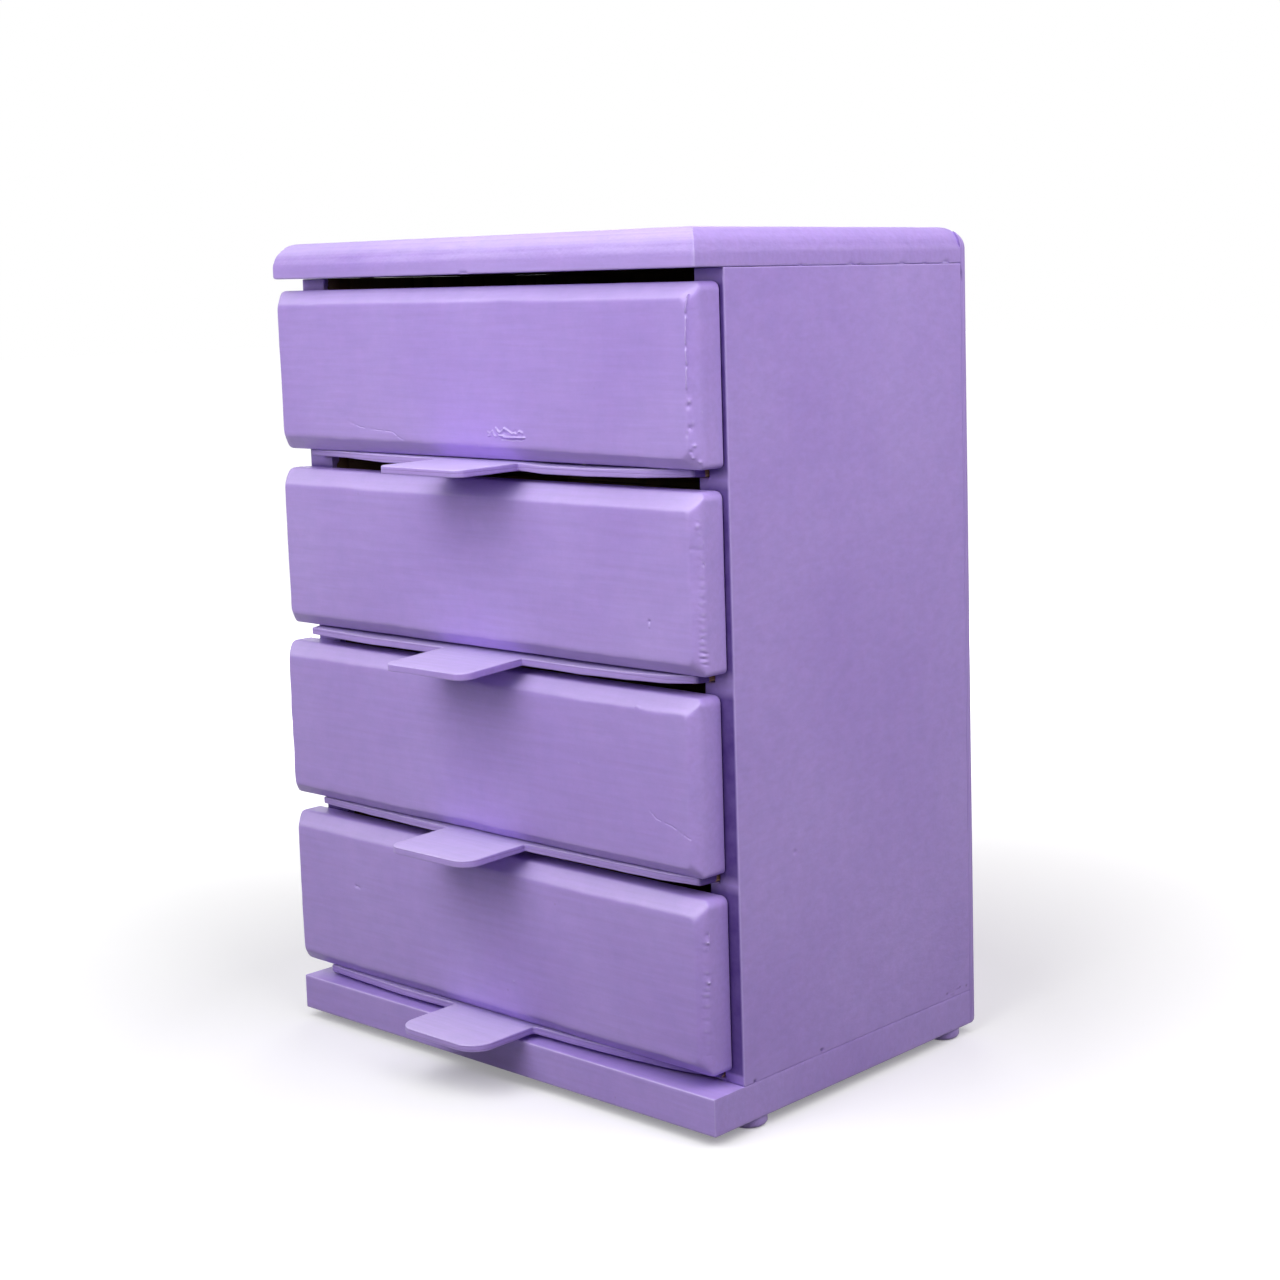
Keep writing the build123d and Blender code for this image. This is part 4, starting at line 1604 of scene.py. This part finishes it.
# %% [markdown]
# ## Floor, light and camera
#
# The chest stands on a plain pale floor. To the camera the floor and the sky beyond it are white,
# while the light that they give back to the chest stays modest, as in the open shade where the
# real one stood. Two large soft lamps stand before the front and before the right side, higher
# than the chest: the upper drawers get more of them than the lower ones, and the undersides of
# the fronts stay dark. A weak one overhead lifts the tops of the tongues. A lamp at the rear left
# lights the back and the left side, and can't be seen from the photographer's place.

# %% Lay the floor


def start_backdrop(owner):
    """Empty a material's or a world's tree. The mask is 1 for the rays that show it to us."""
    owner.use_nodes = True
    tree = owner.node_tree
    tree.nodes.clear()
    rays = add_node(tree, "LightPath").outputs
    bounced = maths(tree, "MAXIMUM", rays["Is Glossy Ray"], rays["Is Transmission Ray"])
    return tree, maths(tree, "MAXIMUM", rays["Is Camera Ray"], bounced)


bpy.ops.object.select_all(action="DESELECT")
bpy.ops.mesh.primitive_plane_add(size=16, location=(0, 0, 0))
floor = bpy.context.active_object
floor.name = "floor"
floor_paint = bpy.data.materials.new("pale_floor")
tree, seen = start_backdrop(floor_paint)
bounce = add_node(tree, "BsdfDiffuse", {"Color": (0.17, 0.165, 0.175, 1)}).outputs[0]
shown = add_node(tree, "BsdfDiffuse", {"Color": (0.80, 0.80, 0.80, 1)}).outputs[0]
away = vector_maths(tree, "LENGTH", object_place(tree))
strength = fit_range(tree, away, 0.16, 0.55, 0.25, 1.0)
glow = add_node(tree, "Emission", {"Color": (1, 1, 1, 1), "Strength": strength}).outputs[0]
lit = add_node(tree, "AddShader", {0: shown, 1: glow}).outputs[0]
surface = add_node(tree, "MixShader", {0: seen, 1: bounce, 2: lit}).outputs[0]
add_node(tree, "OutputMaterial", {"Surface": surface})
paint_with(floor, floor_paint)

# %% Light the scene
world = bpy.data.worlds.new("open_shade")
bpy.context.scene.world = world
tree, seen = start_backdrop(world)
sky = add_node(tree, "Background", {"Color": (1.0, 0.96, 1.0, 1), "Strength": 0.08}).outputs[0]
white = add_node(tree, "Background", {"Color": (1, 1, 1, 1), "Strength": 1.0}).outputs[0]
surface = add_node(tree, "MixShader", {0: seen, 1: sky, 2: white}).outputs[0]
add_node(tree, "OutputWorld", {"Surface": surface})


def soft_lamp(name, place, target, size, power, colour):
    data = bpy.data.lights.new(name, "AREA")
    data.shape = "DISK"
    data.size = size
    data.energy = power
    data.color = colour
    lamp = bpy.data.objects.new(name, data)
    lamp.location = place
    lamp.rotation_euler = (Vector(target) - Vector(place)).to_track_quat("-Z", "Y").to_euler()
    bpy.context.scene.collection.objects.link(lamp)
    return lamp


soft_lamp("front_lamp", (0.0, -0.44, 0.50), (0.0, -0.05, 0.16), 0.6, 2.68, (0.99, 1.0, 0.99))
soft_lamp("side_lamp", (0.53, 0.0, 0.56), (0.1, 0.02, 0.16), 0.6, 2.75, (1.0, 0.98, 1.0))
soft_lamp("top_lamp", (0.0, -0.15, 1.1), (0.0, -0.05, 0.12), 1.0, 2.2, (1.0, 1.0, 1.0))
rear_lamp = soft_lamp("rear_lamp", (-0.62, 0.72, 0.3), (-0.04, 0.04, 0.14), 0.6, 3.2, (1.0, 0.98, 1.0))
rear_lamp.visible_camera = False

# %% [markdown]
# ## The camera
#
# The camera stands where the photographer's did: in front of the chest and to its right, a little
# below the top, looking slightly down. Its place and lens were worked out from the edges of the
# chest, whose sizes are known. The small shift says that the picture was cropped off centre.

# %% Place the camera
CAMERA_PLACE = (0.5385, -0.51865, 0.2589)
PAN, TILT, ROLL = 0.7204, math.pi / 2 - 0.1213, -0.0234
camera_data = bpy.data.cameras.new("photo_view")
camera = bpy.data.objects.new("photo_view", camera_data)
bpy.context.scene.collection.objects.link(camera)
camera_data.sensor_width = 36
camera_data.lens = 61.99
camera_data.shift_x = -0.105
camera_data.shift_y = -0.0709
camera_data.clip_start = 0.01
turn = Matrix.Rotation(PAN, 4, "Z") @ Matrix.Rotation(TILT, 4, "X") @ Matrix.Rotation(ROLL, 4, "Z")
camera.matrix_world = Matrix.Translation(CAMERA_PLACE) @ turn
bpy.context.scene.camera = camera
bpy.context.scene.view_settings.view_transform = "Standard"
print("camera at", [round(value, 3) for value in camera.location])
